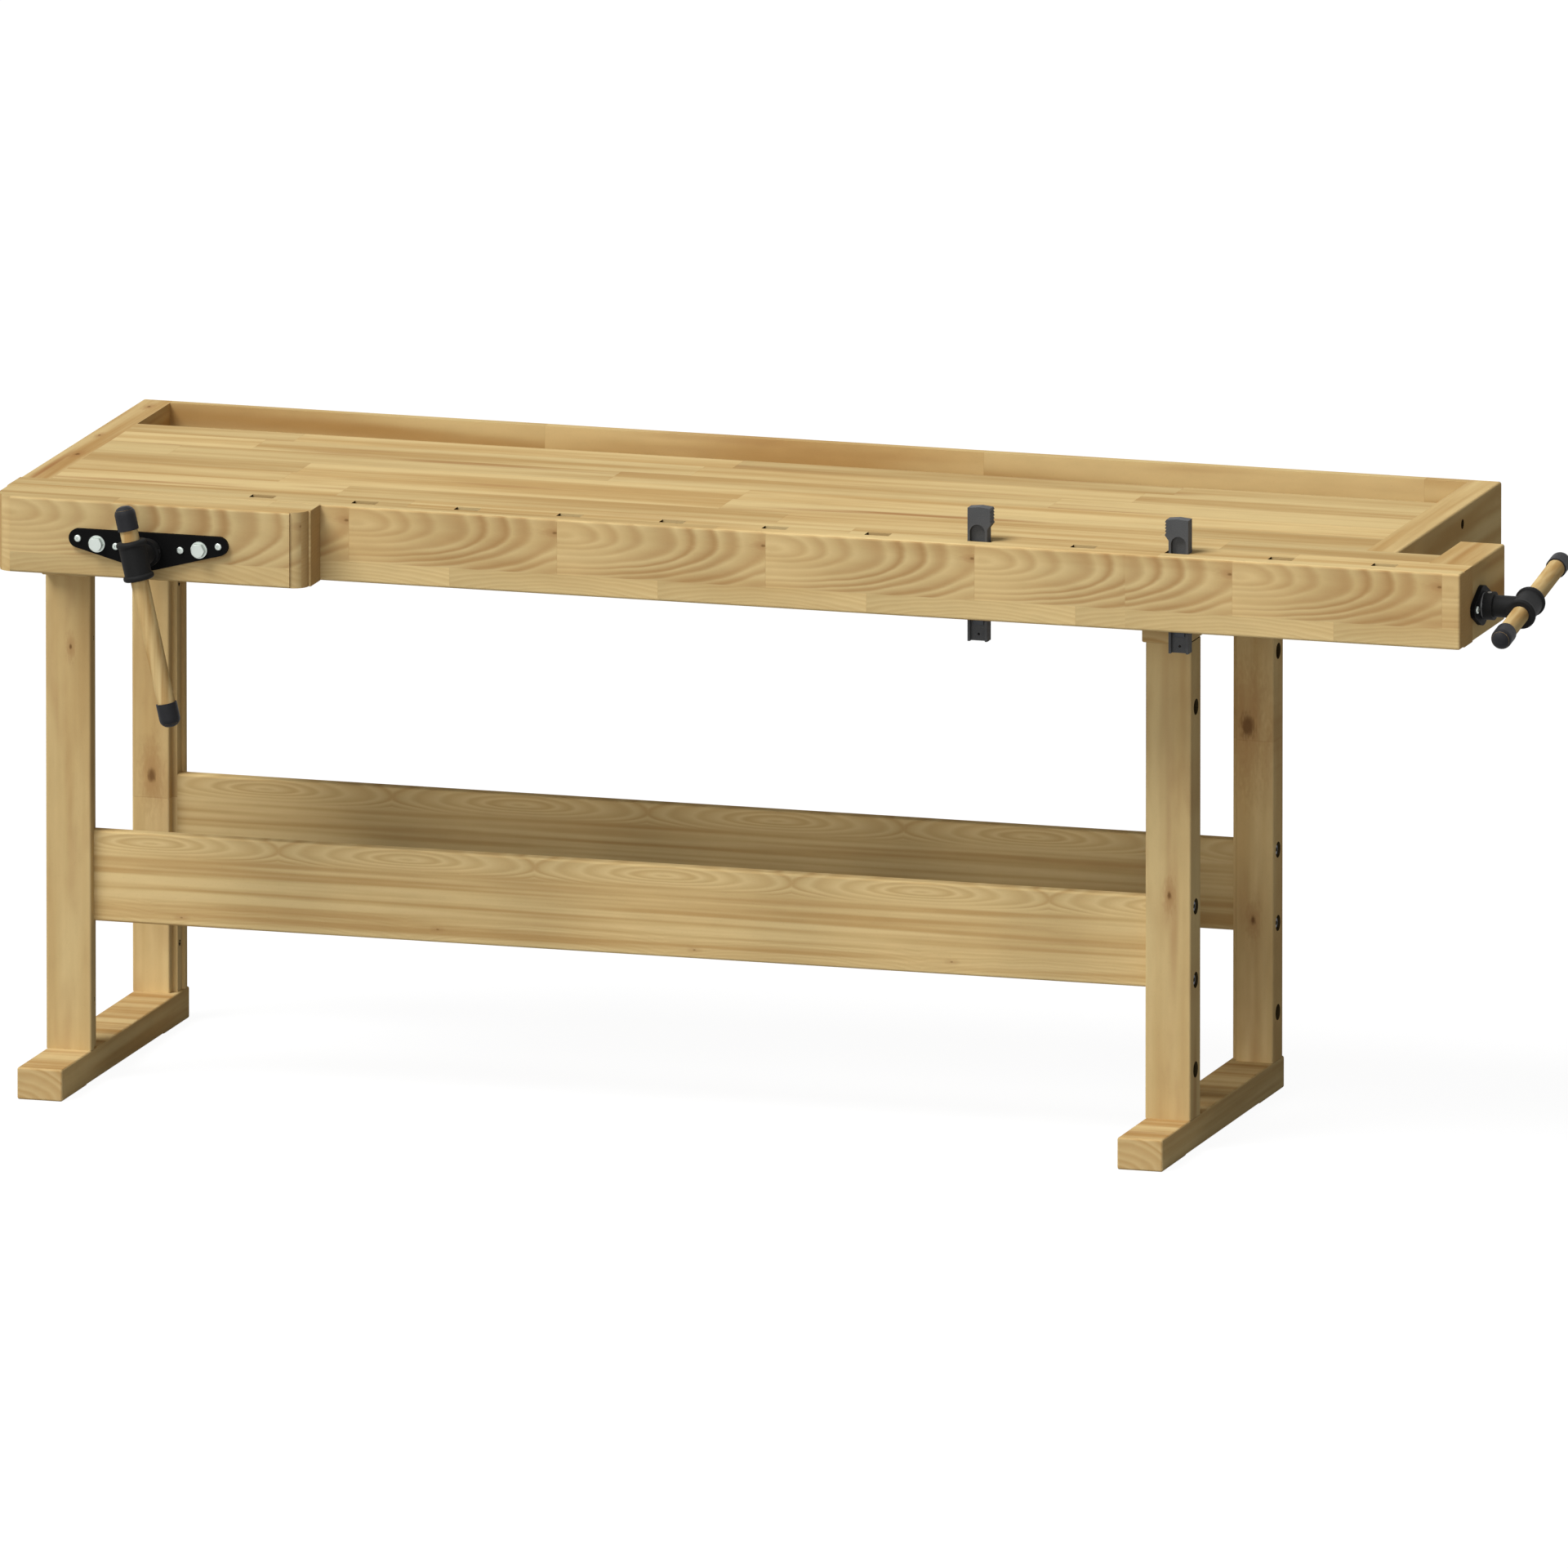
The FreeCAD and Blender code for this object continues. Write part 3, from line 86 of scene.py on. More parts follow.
class WoodSettings(bpy.types.PropertyGroup):
    """Colours and figure of the beech."""
    sapwood: colour("Sapwood", "Palest colour of the planed beech", (0.640, 0.482, 0.232))
    latewood: colour("Latewood", "Colour of the dark side of a growth ring", (0.435, 0.262, 0.096))
    heart: colour("Heart", "Red-brown of heart streaks and knots", (0.34, 0.165, 0.062))
    end_grain: colour("End grain", "Colour of sawn ends", (0.50, 0.33, 0.142))
    stave_width: length("Stave width", "Width of a glued stave of the top", 0.066)
    stave_length: length("Stave length", "Usual length of a stave between two butt joints", 0.62)
    flame_length: length("Flame length", "Length of a stave of the apron", 0.2929)
    ring_width: length("Ring width", "Distance between two rings of the flame figure", 0.034)


class MetalSettings(bpy.types.PropertyGroup):
    """Colours of the ironwork and the handle caps."""
    plate: colour("Face plate", "Black coat of the vise plates", (0.004, 0.004, 0.004))
    hub: colour("Hub", "Black coat of the cast hubs", (0.011, 0.011, 0.011))
    dog: colour("Bench dog", "Dark grey coat of the bench dogs", (0.078, 0.079, 0.080))
    cap: colour("Handle cap", "Dark grey plastic of the handle caps", (0.019, 0.019, 0.021))
    zinc: colour("Zinc", "Zinc plate of bolts and washers", (0.47, 0.51, 0.475))
    steel: colour("Steel", "Bright steel of screws, rods and pins", (0.36, 0.36, 0.355))
    # The frame bolts' steel is darkened as painted shade of the bores they sit in.
    shaded_bolt_steel: colour("Dark steel", "Dull frame bolts in their bores", (0.06, 0.062, 0.066))
    blued: colour("Blued steel", "Blued leaf springs of the bench dogs", (0.05, 0.052, 0.056))
    bronze: colour("Bronze", "Sintered bronze of the bushes", (0.50, 0.34, 0.16))


class StageSettings(bpy.types.PropertyGroup):
    """Camera and light."""
    azimuth: angle("Azimuth", "Turn of the view from straight ahead towards the tail vise", 16.96)
    elevation: angle("Elevation", "Height of the view over the horizon", 11.80)
    frame_width: length("Frame width", "Width that the picture covers at the bench", 2.1115)
    lens: bpy.props.FloatProperty(
        name="Lens", description="Long lens, so that the view is almost parallel", default=1600)
    key_light: share("Key light", "Share of full light from the upper left", 1.0)
    key_spread: angle("Key spread", "Angle that the key light spreads over", 30)
    front_light: share("Front light", "Share of full light from straight ahead", 0.38)
    back_light: share("Back light", "Share of full light from behind", 0.25)
    sky_light: share("Sky light", "Share of full light from all around", 0.20)


# ---- building node trees ---------------------------------------------------------------

# Places of the factor, the two sources and the result among the Mix node's sockets.
MIX_NUMBERS = (0, 2, 3)
MIXED_NUMBER = 0
MIX_COLOURS = (0, 6, 7)
MIXED_COLOUR = 2

# Nodes are laid out in rows, so that a tree can be read in the editor.
NODES_IN_ROW = 9
NODE_STEP_RIGHT = 180
NODE_STEP_DOWN = -260


class Graph:
    """Adds nodes to one tree and joins them up."""

    def __init__(self, tree):
        self.tree = tree

    def add(self, kind, **settings):
        node = self.tree.nodes.new(kind)
        row, column = divmod(len(self.tree.nodes), NODES_IN_ROW)
        node.location = (NODE_STEP_RIGHT * column, NODE_STEP_DOWN * row)
        for name, setting in settings.items():
            setattr(node, name, setting)
        return node

    def feed(self, socket, source):
        """Link an output to the socket, or set the socket to a plain value."""
        if isinstance(source, bpy.types.NodeSocket):
            self.tree.links.new(source, socket)
        else:
            socket.default_value = source

    def feed_each(self, sockets, sources):
        for socket, source in zip(sockets, sources):
            self.feed(socket, source)

    def math(self, operation, *sources):
        node = self.add("ShaderNodeMath", operation=operation)
        self.feed_each(node.inputs, sources)
        return node.outputs[0]

    def plus(self, first, second):
        return self.math("ADD", first, second)

    def minus(self, first, second):
        return self.math("SUBTRACT", first, second)

    def times(self, first, second):
        return self.math("MULTIPLY", first, second)

    def over(self, first, second):
        return self.math("DIVIDE", first, second)

    def size(self, source):
        return self.math("ABSOLUTE", source)

    def flip(self, source):
        """Turn 0 to 1 into 1 to 0."""
        return self.minus(1.0, source)

    def distance(self, x, y):
        """How far a point is from the centre."""
        return self.math("SQRT", self.plus(self.times(x, x), self.times(y, y)))

    def off_middle(self, source):
        """How far a point is from the middle of its unit cell."""
        return self.size(self.minus(self.math("FRACT", source), 0.5))

    def smooth(self, low, high, source):
        """0 below low, 1 above high and a smooth step between them."""
        node = self.add("ShaderNodeMapRange", interpolation_type="SMOOTHSTEP")
        self.feed(node.inputs["Value"], source)
        self.feed(node.inputs["From Min"], low)
        self.feed(node.inputs["From Max"], high)
        return node.outputs[0]

    def scaled(self, source, low, high):
        """Spread a 0 to 1 value from low to high."""
        return self.math("MULTIPLY_ADD", source, high - low, low)

    def vector(self, x, y, z):
        node = self.add("ShaderNodeCombineXYZ")
        self.feed_each(node.inputs, (x, y, z))
        return node.outputs[0]

    def split(self, vector):
        node = self.add("ShaderNodeSeparateXYZ")
        self.feed(node.inputs[0], vector)
        return node.outputs

    def noise(self, vector, scale=1.0, detail=2.0, roughness=0.5):
        node = self.add("ShaderNodeTexNoise")
        self.feed(node.inputs["Vector"], vector)
        self.feed(node.inputs["Scale"], scale)
        self.feed(node.inputs["Detail"], detail)
        self.feed(node.inputs["Roughness"], roughness)
        return node.outputs[0]

    def random(self, x, y):
        node = self.add("ShaderNodeTexWhiteNoise", noise_dimensions="2D")
        self.feed(node.inputs["Vector"], self.vector(x, y, 0.0))
        return node.outputs[0]

    def blend(self, factor, first, second):
        """Mix two colours."""
        node = self.add("ShaderNodeMix", data_type="RGBA")
        self.feed_each([node.inputs[place] for place in MIX_COLOURS], (factor, first, second))
        return node.outputs[MIXED_COLOUR]

    def choose(self, factor, first, second):
        """Mix two numbers."""
        node = self.add("ShaderNodeMix", data_type="FLOAT")
        self.feed_each([node.inputs[place] for place in MIX_NUMBERS], (factor, first, second))
        return node.outputs[MIXED_NUMBER]

    def shade(self, tint, tone):
        """Multiply a colour by a grey tone."""
        grey = self.add("ShaderNodeCombineColor")
        self.feed_each(grey.inputs, (tone, tone, tone))
        node = self.add("ShaderNodeMix", data_type="RGBA", blend_type="MULTIPLY")
        self.feed_each([node.inputs[place] for place in MIX_COLOURS],
                       (1.0, tint, grey.outputs[0]))
        return node.outputs[MIXED_COLOUR]

    def place(self, effect, **sources):
        """Put a shared effect in this tree; an underscore stands for a space in a socket name."""
        node = self.add("ShaderNodeGroup", node_tree=shared(effect))
        for name, source in sources.items():
            self.feed(node.inputs[name.replace("_", " ")], source)
        return node.outputs

    def raise_surface(self, shader, height, strength, depth):
        """Let a height show as fine relief, this deep in metres."""
        bump = self.add("ShaderNodeBump")
        bump.inputs["Strength"].default_value = strength
        bump.inputs["Distance"].default_value = depth
        self.feed(bump.inputs["Height"], height)
        self.feed(shader.inputs["Normal"], bump.outputs[0])


def new_group(name, inputs, outputs):
    """An empty shared group with number sockets; Vector is the one vector among them."""
    tree = bpy.data.node_groups.new(name, "ShaderNodeTree")
    for direction, names in (("INPUT", inputs), ("OUTPUT", outputs)):
        for socket in names:
            kind = "NodeSocketVector" if socket == "Vector" else "NodeSocketFloat"
            tree.interface.new_socket(socket, in_out=direction, socket_type=kind)
    graph = Graph(tree)
    return graph, graph.add("NodeGroupInput").outputs, graph.add("NodeGroupOutput").inputs


def new_material(name):
    """A new material, with its graph, its shader and the places on the piece."""
    material = bpy.data.materials.new(name)
    material.use_nodes = True
    graph = Graph(material.node_tree)
    shader = material.node_tree.nodes["Principled BSDF"]
    return material, graph, shader, graph.add("ShaderNodeTexCoord").outputs


# ---- shared effects --------------------------------------------------------------------
# Ripples, flecks, clouds and edges are given in cells a metre, along and across the grain. Other
# pairs are the range that a smooth step or a tone runs over. A seed only keeps one noise apart
# from the others.

RING_WANDER = 16.0
RING_RIPPLES = (34.0, 150.0)
RING_RIPPLE_REACH = 0.004
RING_RISE = 1.1
RING_FALL = (0.55, 1.0)
RING_STRENGTH = (0.0, 2.3)
RIPPLE_SEED, UNEVEN_SEED, STRENGTH_SEED = 3.0, 7.0, 19.0

STAVE_SLIP = 7.0
SLIP_SEED, SHIFT_SEED = 5.5, 31.7
SIDE_LINE = (0.482, 0.5)
END_LINE = (0.4988, 0.5)

STREAK_SHIFT = 61.0
STREAKS_ALONG = 1.7
NARROWER = (2.6, 4.0)
RARER = (0.42, 0.24)
WIDE_SHARE, NARROW_SHARE = 0.78, 0.22
BAND_RANGE = (0.34, 0.70)
HEART_RANGE = (0.58, 0.80)
RARE_SEED = 9.0

FLECKS = (260.0, 1500.0)
FLECK_RANGE = (0.62, 0.78)
FLECK_TONE = -0.09
FLECK_HEIGHT = -0.6
CLOUDS = (22.0, 60.0)
CLOUD_TONES = (0.93, 1.07)

KNOT_EDGE = (90.0, 260.0)
KNOT_SIZES = (0.3, 1.7)
KNOT_SEED = 2.0
CORE_SQUEEZE = 0.6
CORE_RANGE = (0.3, 1.2)
KNOT_CLOUD_SQUEEZE = (0.085, 0.26)

CAST_TONES = (0.55, 1.45)
CAST_PATCHES = 35.0
PATCH_TONES = (0.85, 1.15)


def build_growth_rings(name):
    """Rings about a point: each darkens slowly outwards and ends in a soft pale edge.

    Flatten and Sweep press the rings flat, so many times, above and below the point. Warp is how
    far their lines wander, in metres.
    """
    graph, given, result = new_group(
        name, ("Along", "Across", "Ring Width", "Flatten", "Sweep", "Warp"), ("Rings",))
    along, across = given["Along"], given["Across"]
    wander = graph.noise(graph.vector(along, across, 0.0), RING_WANDER, detail=1.0)
    ripple = graph.noise(graph.vector(graph.times(along, RING_RIPPLES[0]),
                                      graph.times(across, RING_RIPPLES[1]), RIPPLE_SEED))
    below = graph.math("LESS_THAN", across, 0.0)
    pressed = graph.times(across, graph.choose(below, given["Flatten"], given["Sweep"]))
    reach = graph.distance(along, pressed)
    reach = graph.plus(reach, graph.times(graph.minus(wander, 0.5), given["Warp"]))
    reach = graph.plus(reach, graph.times(graph.minus(ripple, 0.5), RING_RIPPLE_REACH))
    phase = graph.over(reach, given["Ring Width"])
    uneven = graph.noise(graph.vector(phase, UNEVEN_SEED, 0.0), 0.5, detail=1.0)
    phase = graph.plus(phase, uneven)
    step = graph.math("FRACT", phase)
    rise = graph.math("POWER", step, RING_RISE)
    fall = graph.flip(graph.smooth(*RING_FALL, step))
    strength = graph.noise(graph.vector(phase, across, STRENGTH_SEED), 0.7, detail=1.0)
    ring = graph.times(graph.times(rise, fall), graph.scaled(strength, *RING_STRENGTH))
    graph.feed(result["Rings"], graph.math("MINIMUM", ring, 1.0))
    return graph.tree


def build_stave_layout(name):
    """Which stave a point lies in, as two random numbers, and the thin line between staves."""
    graph, given, result = new_group(
        name, ("Along", "Across", "Width", "Length", "Seed"), ("Tone", "Shift", "Line"))
    lane = graph.over(given["Across"], given["Width"])
    row = graph.plus(graph.math("FLOOR", lane), given["Seed"])
    slip = graph.times(graph.random(row, SLIP_SEED), STAVE_SLIP)
    run = graph.plus(graph.over(given["Along"], given["Length"]), slip)
    column = graph.math("FLOOR", run)
    graph.feed(result["Tone"], graph.random(row, column))
    graph.feed(result["Shift"], graph.random(column, graph.plus(row, SHIFT_SEED)))
    side_line = graph.smooth(*SIDE_LINE, graph.off_middle(lane))
    end_line = graph.smooth(*END_LINE, graph.off_middle(run))
    graph.feed(result["Line"], graph.math("MAXIMUM", side_line, end_line))
    return graph.tree


def build_soft_streaks(name):
    """Long soft bands along the grain, and the rarer red-brown heart in them."""
    graph, given, result = new_group(
        name, ("Along", "Across", "Depth", "Shift", "Fine"), ("Bands", "Heart"))
    offset = graph.times(given["Shift"], STREAK_SHIFT)
    along = graph.plus(graph.times(given["Along"], STREAKS_ALONG), offset)
    across = graph.math("MULTIPLY_ADD", given["Across"], given["Fine"], offset)
    depth = graph.times(given["Depth"], given["Fine"])
    wide = graph.noise(graph.vector(along, across, depth), detail=1.0)
    along = graph.times(along, NARROWER[0])
    across = graph.times(across, NARROWER[1])
    narrow = graph.noise(graph.vector(along, across, depth))
    mixed = graph.plus(graph.times(wide, WIDE_SHARE), graph.times(narrow, NARROW_SHARE))
    graph.feed(result["Bands"], graph.smooth(*BAND_RANGE, mixed))
    rare = graph.noise(graph.vector(graph.times(along, RARER[0]), graph.times(across, RARER[1]),
                                    graph.plus(depth, RARE_SEED)))
    graph.feed(result["Heart"], graph.smooth(*HEART_RANGE, rare))
    return graph.tree


def build_planed_surface(name):
    """Beech flecks and the last trace of the plane, as a tone about 1 and a height."""
    graph, given, result = new_group(name, ("Along", "Across", "Depth"), ("Tone", "Height"))

    def in_grain(cells):
        """Places with so many cells a metre along and across the grain."""
        along, across = cells
        return graph.vector(graph.times(given["Along"], along),
                            graph.times(given["Across"], across),
                            graph.times(given["Depth"], across))

    fleck = graph.smooth(*FLECK_RANGE, graph.noise(in_grain(FLECKS), detail=1.0))
    cloud = graph.noise(in_grain(CLOUDS), detail=3.0, roughness=0.6)
    tone = graph.plus(graph.scaled(cloud, *CLOUD_TONES), graph.times(fleck, FLECK_TONE))
    graph.feed(result["Tone"], tone)
    graph.feed(result["Height"], graph.plus(graph.times(fleck, FLECK_HEIGHT), cloud))
    return graph.tree


def build_knot(name):
    """A small knot about a point: a dark core in a red-brown cloud drawn out along the grain."""
    graph, given, result = new_group(name, ("Along", "Across", "Size"), ("Core", "Cloud"))
    ragged = graph.noise(graph.vector(graph.times(given["Along"], KNOT_EDGE[0]),
                                      graph.times(given["Across"], KNOT_EDGE[1]), KNOT_SEED))
    size = graph.times(given["Size"], graph.scaled(ragged, *KNOT_SIZES))
    along = graph.over(given["Along"], size)
    across = graph.over(given["Across"], size)
    core_along = graph.times(along, CORE_SQUEEZE)
    core = graph.distance(core_along, across)
    graph.feed(result["Core"], graph.flip(graph.smooth(*CORE_RANGE, core)))
    cloud = graph.distance(graph.times(along, KNOT_CLOUD_SQUEEZE[0]),
                           graph.times(across, KNOT_CLOUD_SQUEEZE[1]))
    graph.feed(result["Cloud"], graph.flip(graph.smooth(0.0, 1.0, cloud)))
    return graph.tree


def build_cast_skin(name):
    """The fine orange peel of a coated casting, as a tone about 1 and a height."""
    graph, given, result = new_group(name, ("Vector", "Grain"), ("Tone", "Height"))
    grain = graph.noise(given["Vector"], given["Grain"], roughness=0.6)
    patch = graph.noise(given["Vector"], CAST_PATCHES)
    graph.feed(result["Tone"], graph.times(graph.scaled(grain, *CAST_TONES),
                                           graph.scaled(patch, *PATCH_TONES)))
    graph.feed(result["Height"], grain)
    return graph.tree


EFFECTS = {
    "Growth rings": build_growth_rings,
    "Stave layout": build_stave_layout,
    "Soft streaks": build_soft_streaks,
    "Planed surface": build_planed_surface,
    "Knot": build_knot,
    "Cast skin": build_cast_skin,
}


def shared(name):
    """A shared effect, built the first time that it is asked for."""
    return bpy.data.node_groups.get(name) or EFFECTS[name](name)


# ---- beech -----------------------------------------------------------------------------
# Lengths are in metres, and a tone multiplies a colour.

ROUGHNESS = 0.46
RELIEF_STRENGTH = 0.35
RELIEF_DEPTH = 0.00012
LOOKS_ALONG = 0.707
GLUE_LINE_STRENGTH = 0.22
BUTT_LINE_WIDTH = 0.0011

KNOT_CLOUD_STRENGTH = 0.55
KNOT_CORE_STRENGTH = 0.85
KNOT_CORE_TONE = 0.45

END_RING_WIDTH = 0.0062
END_RING_STRENGTH = 0.4
END_REACH = 0.001
OUTER_ENDS = (APRON_LOW.x, APRON_HIGH.x, TAIL_LOW.x, TAIL_HIGH.x)

# The walls of the bores get painted shade: their colour is multiplied by the last tone below. A
# bore's wall is a face that hardly leans towards x. One that looks straight along y counts only on
# the outer half of its board, where no rebate has a step, and none counts within the margin of the
# board's own faces.
BORE_SLOPE = 0.3
BORE_STRAIGHT = 0.99
BORE_MARGIN = 0.002
BORE_PAINTED_SHADE = 0.13

Flames = namedtuple("Flames", "rings inside share")


class Board:
    """The node tree of one beech material: its places, its figure and its finish."""

    def __init__(self, name, grain):
        self.wood = bpy.context.scene.bench_wood
        self.material, self.graph, self.shader, places = new_material(name)
        self.shader.inputs["Roughness"].default_value = ROUGHNESS
        self.shader.inputs["Specular IOR Level"].default_value = 0.0
        self.x, self.y, self.z = self.graph.split(places["Object"])
        self.facing = dict(zip("xyz", self.graph.split(places["Normal"])))
        axes = {"x": (self.x, self.y, self.z), "y": (self.y, self.x, self.z),
                "z": (self.z, self.x, self.y)}
        self.grain = grain
        self.along, self.across, self.depth = axes[grain]

    def paint(self, name):
        """A colour of the wood settings as a socket value."""
        return (*getattr(self.wood, name), 1.0)

    def stain(self, tint, name, strength, mask=None):
        """Blend a colour towards one of the wood's own; a mask says where."""
        factor = strength if mask is None else self.graph.times(mask, strength)
        return self.graph.blend(factor, tint, self.paint(name))

    def faces(self, axis):
        """1 on faces that look along this axis either way."""
        return self.graph.math("GREATER_THAN", self.graph.size(self.facing[axis]), LOOKS_ALONG)

    def streaked(self, shift, bands=0.62, heart=0.75, fine=24.0):
        """Plain long-grain figure from soft streaks, so many fine ones a metre."""
        marks = self.graph.place("Soft streaks", Along=self.along, Across=self.across,
                                 Depth=self.depth, Shift=shift, Fine=fine)
        tint = self.stain(self.paint("sapwood"), "latewood", bands, marks["Bands"])
        return self.stain(tint, "heart", heart, marks["Heart"])

    def staved(self, seed, across=None, contrast=0.16, bands=0.85, heart=0.85, fine=24.0):
        """Staves glued side by side, each with its own streaks and depth of colour."""
        graph = self.graph
        lanes = graph.place("Stave layout", Along=self.along, Across=across or self.across,
                            Width=self.wood.stave_width, Length=self.wood.stave_length,
                            Seed=seed)
        tint = self.streaked(lanes["Shift"], bands, heart, fine)
        tint = graph.shade(tint, graph.scaled(lanes["Tone"], 1 - contrast, 1 + contrast / 2))
        return self.stain(tint, "heart", GLUE_LINE_STRENGTH, lanes["Line"])

    def flamed(self, joint, long, centre, ring, flatten, sweep, warp=0.016):
        """Nested flames that start again at each butt joint, every stave's length along.

        The rings' centre is given from the joint and in height. With the rings come a point's
        place in its stave in metres and as a share of the stave's length.
        """
        graph = self.graph
        inside = graph.math("FLOORED_MODULO", graph.minus(self.x, joint), long)
        marks = graph.place("Growth rings", Along=graph.minus(inside, centre[0]),
                            Across=graph.minus(self.z, centre[1]), Ring_Width=ring,
                            Flatten=flatten, Sweep=sweep, Warp=warp)
        return Flames(marks["Rings"], inside, graph.over(inside, long))

    def joint_line(self, away):
        """A thin line about a butt joint, from the distance to it."""
        return self.graph.flip(self.graph.smooth(0.0, BUTT_LINE_WIDTH, away))

    def stave_ends(self, flames, long):
        """The thin lines at both ends of a flamed stave."""
        to_end = self.graph.minus(long, flames.inside)
        return self.joint_line(self.graph.math("MINIMUM", flames.inside, to_end))

    def knotted(self, tint, along, across, size, strength=1.0):
        """Lay a knot over a colour."""
        graph = self.graph
        mark = graph.place("Knot", Along=along, Across=across, Size=size)
        tint = self.stain(tint, "heart", KNOT_CLOUD_STRENGTH * strength, mark["Cloud"])
        dark = tuple(part * KNOT_CORE_TONE for part in self.wood.heart) + (1.0,)
        return graph.blend(graph.times(mark["Core"], KNOT_CORE_STRENGTH * strength), tint, dark)

    def knots(self, tint, places):
        """Lay knots over a colour, each by its place along and across the grain and its size."""
        for along, across, size in places:
            tint = self.knotted(tint, self.graph.minus(self.along, along),
                                self.graph.minus(self.across, across), size)
        return tint

    def ends(self, tint, middle=(0.0, 0.0), hole_painted_shade=None):
        """Sawn ends show growth rings in place of the long figure.

        A hole shade darkens them as painted shade where they don't lie at an end of the apron or
        tail vise.
        """
        graph = self.graph
        marks = graph.place("Growth rings", Along=graph.minus(self.across, middle[0]),
                            Across=graph.minus(self.depth, middle[1]),
                            Ring_Width=END_RING_WIDTH, Flatten=1.3, Sweep=1.3, Warp=0.02)
        sawn = self.stain(self.paint("end_grain"), "latewood", END_RING_STRENGTH, marks["Rings"])
        # Hidden ends are darkened as painted shade.
        if hole_painted_shade is not None:
            tone = hole_painted_shade
            for end in OUTER_ENDS:
                away = graph.size(graph.minus(self.x, end))
                tone = graph.choose(graph.math("LESS_THAN", away, END_REACH), tone, 1.0)
            sawn = graph.shade(sawn, tone)
        return graph.blend(self.faces(self.grain), tint, sawn)

    def shade_bores(self, tint, low, high):
        """Painted shade on the walls of the bores that run along x inside the board's box."""
        graph = self.graph
        wall = graph.math("LESS_THAN", graph.size(self.facing["x"]), BORE_SLOPE)
        straight = graph.math("GREATER_THAN", graph.size(self.facing["y"]), BORE_STRAIGHT)
        middle = (low.x + high.x) / 2
        outer = graph.math("GREATER_THAN" if middle > 0 else "LESS_THAN", self.x, middle)
        wall = graph.times(wall, graph.choose(straight, 1.0, outer))
        for place, bottom, top in ((self.y, low.y, high.y), (self.z, low.z, high.z)):
            away = graph.size(graph.minus(place, (bottom + top) / 2))
            within = (top - bottom) / 2 - BORE_MARGIN
            wall = graph.times(wall, graph.math("LESS_THAN", away, within))
        # The bore walls are darkened as painted shade.
        return graph.shade(tint, graph.choose(wall, 1.0, BORE_PAINTED_SHADE))

    def finish(self, tint):
        """Planed surface over the figure: flecks, tone and a fine relief."""
        graph = self.graph
        skin = graph.place("Planed surface", Along=self.along, Across=self.across,
                           Depth=self.depth)
        graph.feed(self.shader.inputs["Base Color"], graph.shade(tint, skin["Tone"]))
        graph.raise_surface(self.shader, skin["Height"], RELIEF_STRENGTH, RELIEF_DEPTH)
        return self.material


# Laths: a wide upper stave with flames and a knot, over a narrow lower stave.
LATH_SHIFT = 0.3
FLAMES_AFTER_JOINT = 0.010
FLAMES_BELOW_TOP = 0.023
FLAMES_GROW = (0.0, 0.5)
FLAMES_FADE = (0.72, 1.0)
FADED = 0.45
FLAME_STRENGTH = (0.5, 1.0)
FLAME_TONES = (1.07, 0.95)
FLAME_RED = 0.55
UPPER_JOINT_STRENGTH = 0.15
KNOT_BEFORE_JOINT = 0.003
KNOT_BELOW_TOP = 0.019
LOWER_STAVE_HEIGHT = 0.028
LOWER_FLAMES_AFTER_JOINT = 0.150
LOWER_FLAMES_BELOW_LATH = 0.020
LOWER_RING_SHARE = 0.7
LOWER_RING_STRENGTH = 0.42
LOWER_TONES = (0.92, 1.06)
LOWER_JOINT_STRENGTH = 0.12
TOP_SEED = 3.0
LATH_END_RINGS_BELOW_TOP = 0.15


def upper_stave(board, plain, joint, long):
    """Flames that grow from each butt joint and fade before the next, where a knot sits."""
    graph = board.graph
    flames = board.flamed(joint, long, (FLAMES_AFTER_JOINT, TOP - FLAMES_BELOW_TOP),
                          board.wood.ring_width, flatten=2.3, sweep=4.2)
    growing = graph.smooth(*FLAMES_GROW, flames.share)
    fading = graph.scaled(graph.smooth(*FLAMES_FADE, flames.share), 1.0, FADED)
    strongest = graph.times(growing, fading)
    rings = graph.times(flames.rings, graph.scaled(strongest, *FLAME_STRENGTH))
    tint = graph.blend(rings, plain, board.stain(board.paint("latewood"), "heart", FLAME_RED))
    tint = graph.shade(tint, graph.scaled(strongest, *FLAME_TONES))
    tint = board.knotted(tint, graph.minus(flames.inside, long - KNOT_BEFORE_JOINT),
                         graph.minus(board.z, TOP - KNOT_BELOW_TOP), size=0.0024, strength=0.75)
    return board.stain(tint, "heart", UPPER_JOINT_STRENGTH, board.stave_ends(flames, long))


def lower_stave(board, plain, joint, long):
    """Fainter, longer flames, each stave a little darker at its start than at its end."""
    graph = board.graph
    centre = (LOWER_FLAMES_AFTER_JOINT, APRON_LOW.z - LOWER_FLAMES_BELOW_LATH)
    flames = board.flamed(joint, long, centre, board.wood.ring_width * LOWER_RING_SHARE,
                          flatten=4.5, sweep=4.5, warp=0.03)
    tint = board.stain(plain, "latewood", LOWER_RING_STRENGTH, flames.rings)
    tint = graph.shade(tint, graph.scaled(flames.share, *LOWER_TONES))
    return board.stain(tint, "heart", LOWER_JOINT_STRENGTH, board.stave_ends(flames, long))


def flame_board(name, upper_joint, lower_joint, long, shift=0.0, tone=1.0):
    """A lath of two staves, each with its first butt joint at this x; the top face is staved."""
    board = Board(name, "x")
    graph = board.graph
    plain = board.streaked(LATH_SHIFT + shift, bands=0.45, heart=0.25, fine=34.0)
    upper = upper_stave(board, plain, upper_joint, long)
    lower = lower_stave(board, plain, lower_joint, long)
    under = graph.math("LESS_THAN", board.z, APRON_LOW.z + LOWER_STAVE_HEIGHT)
    face = graph.shade(graph.blend(under, upper, lower), tone)
    tint = graph.blend(board.faces("z"), face, board.staved(TOP_SEED))
    return board.finish(board.ends(tint, (BENCH_FRONT, TOP - LATH_END_RINGS_BELOW_TOP)))


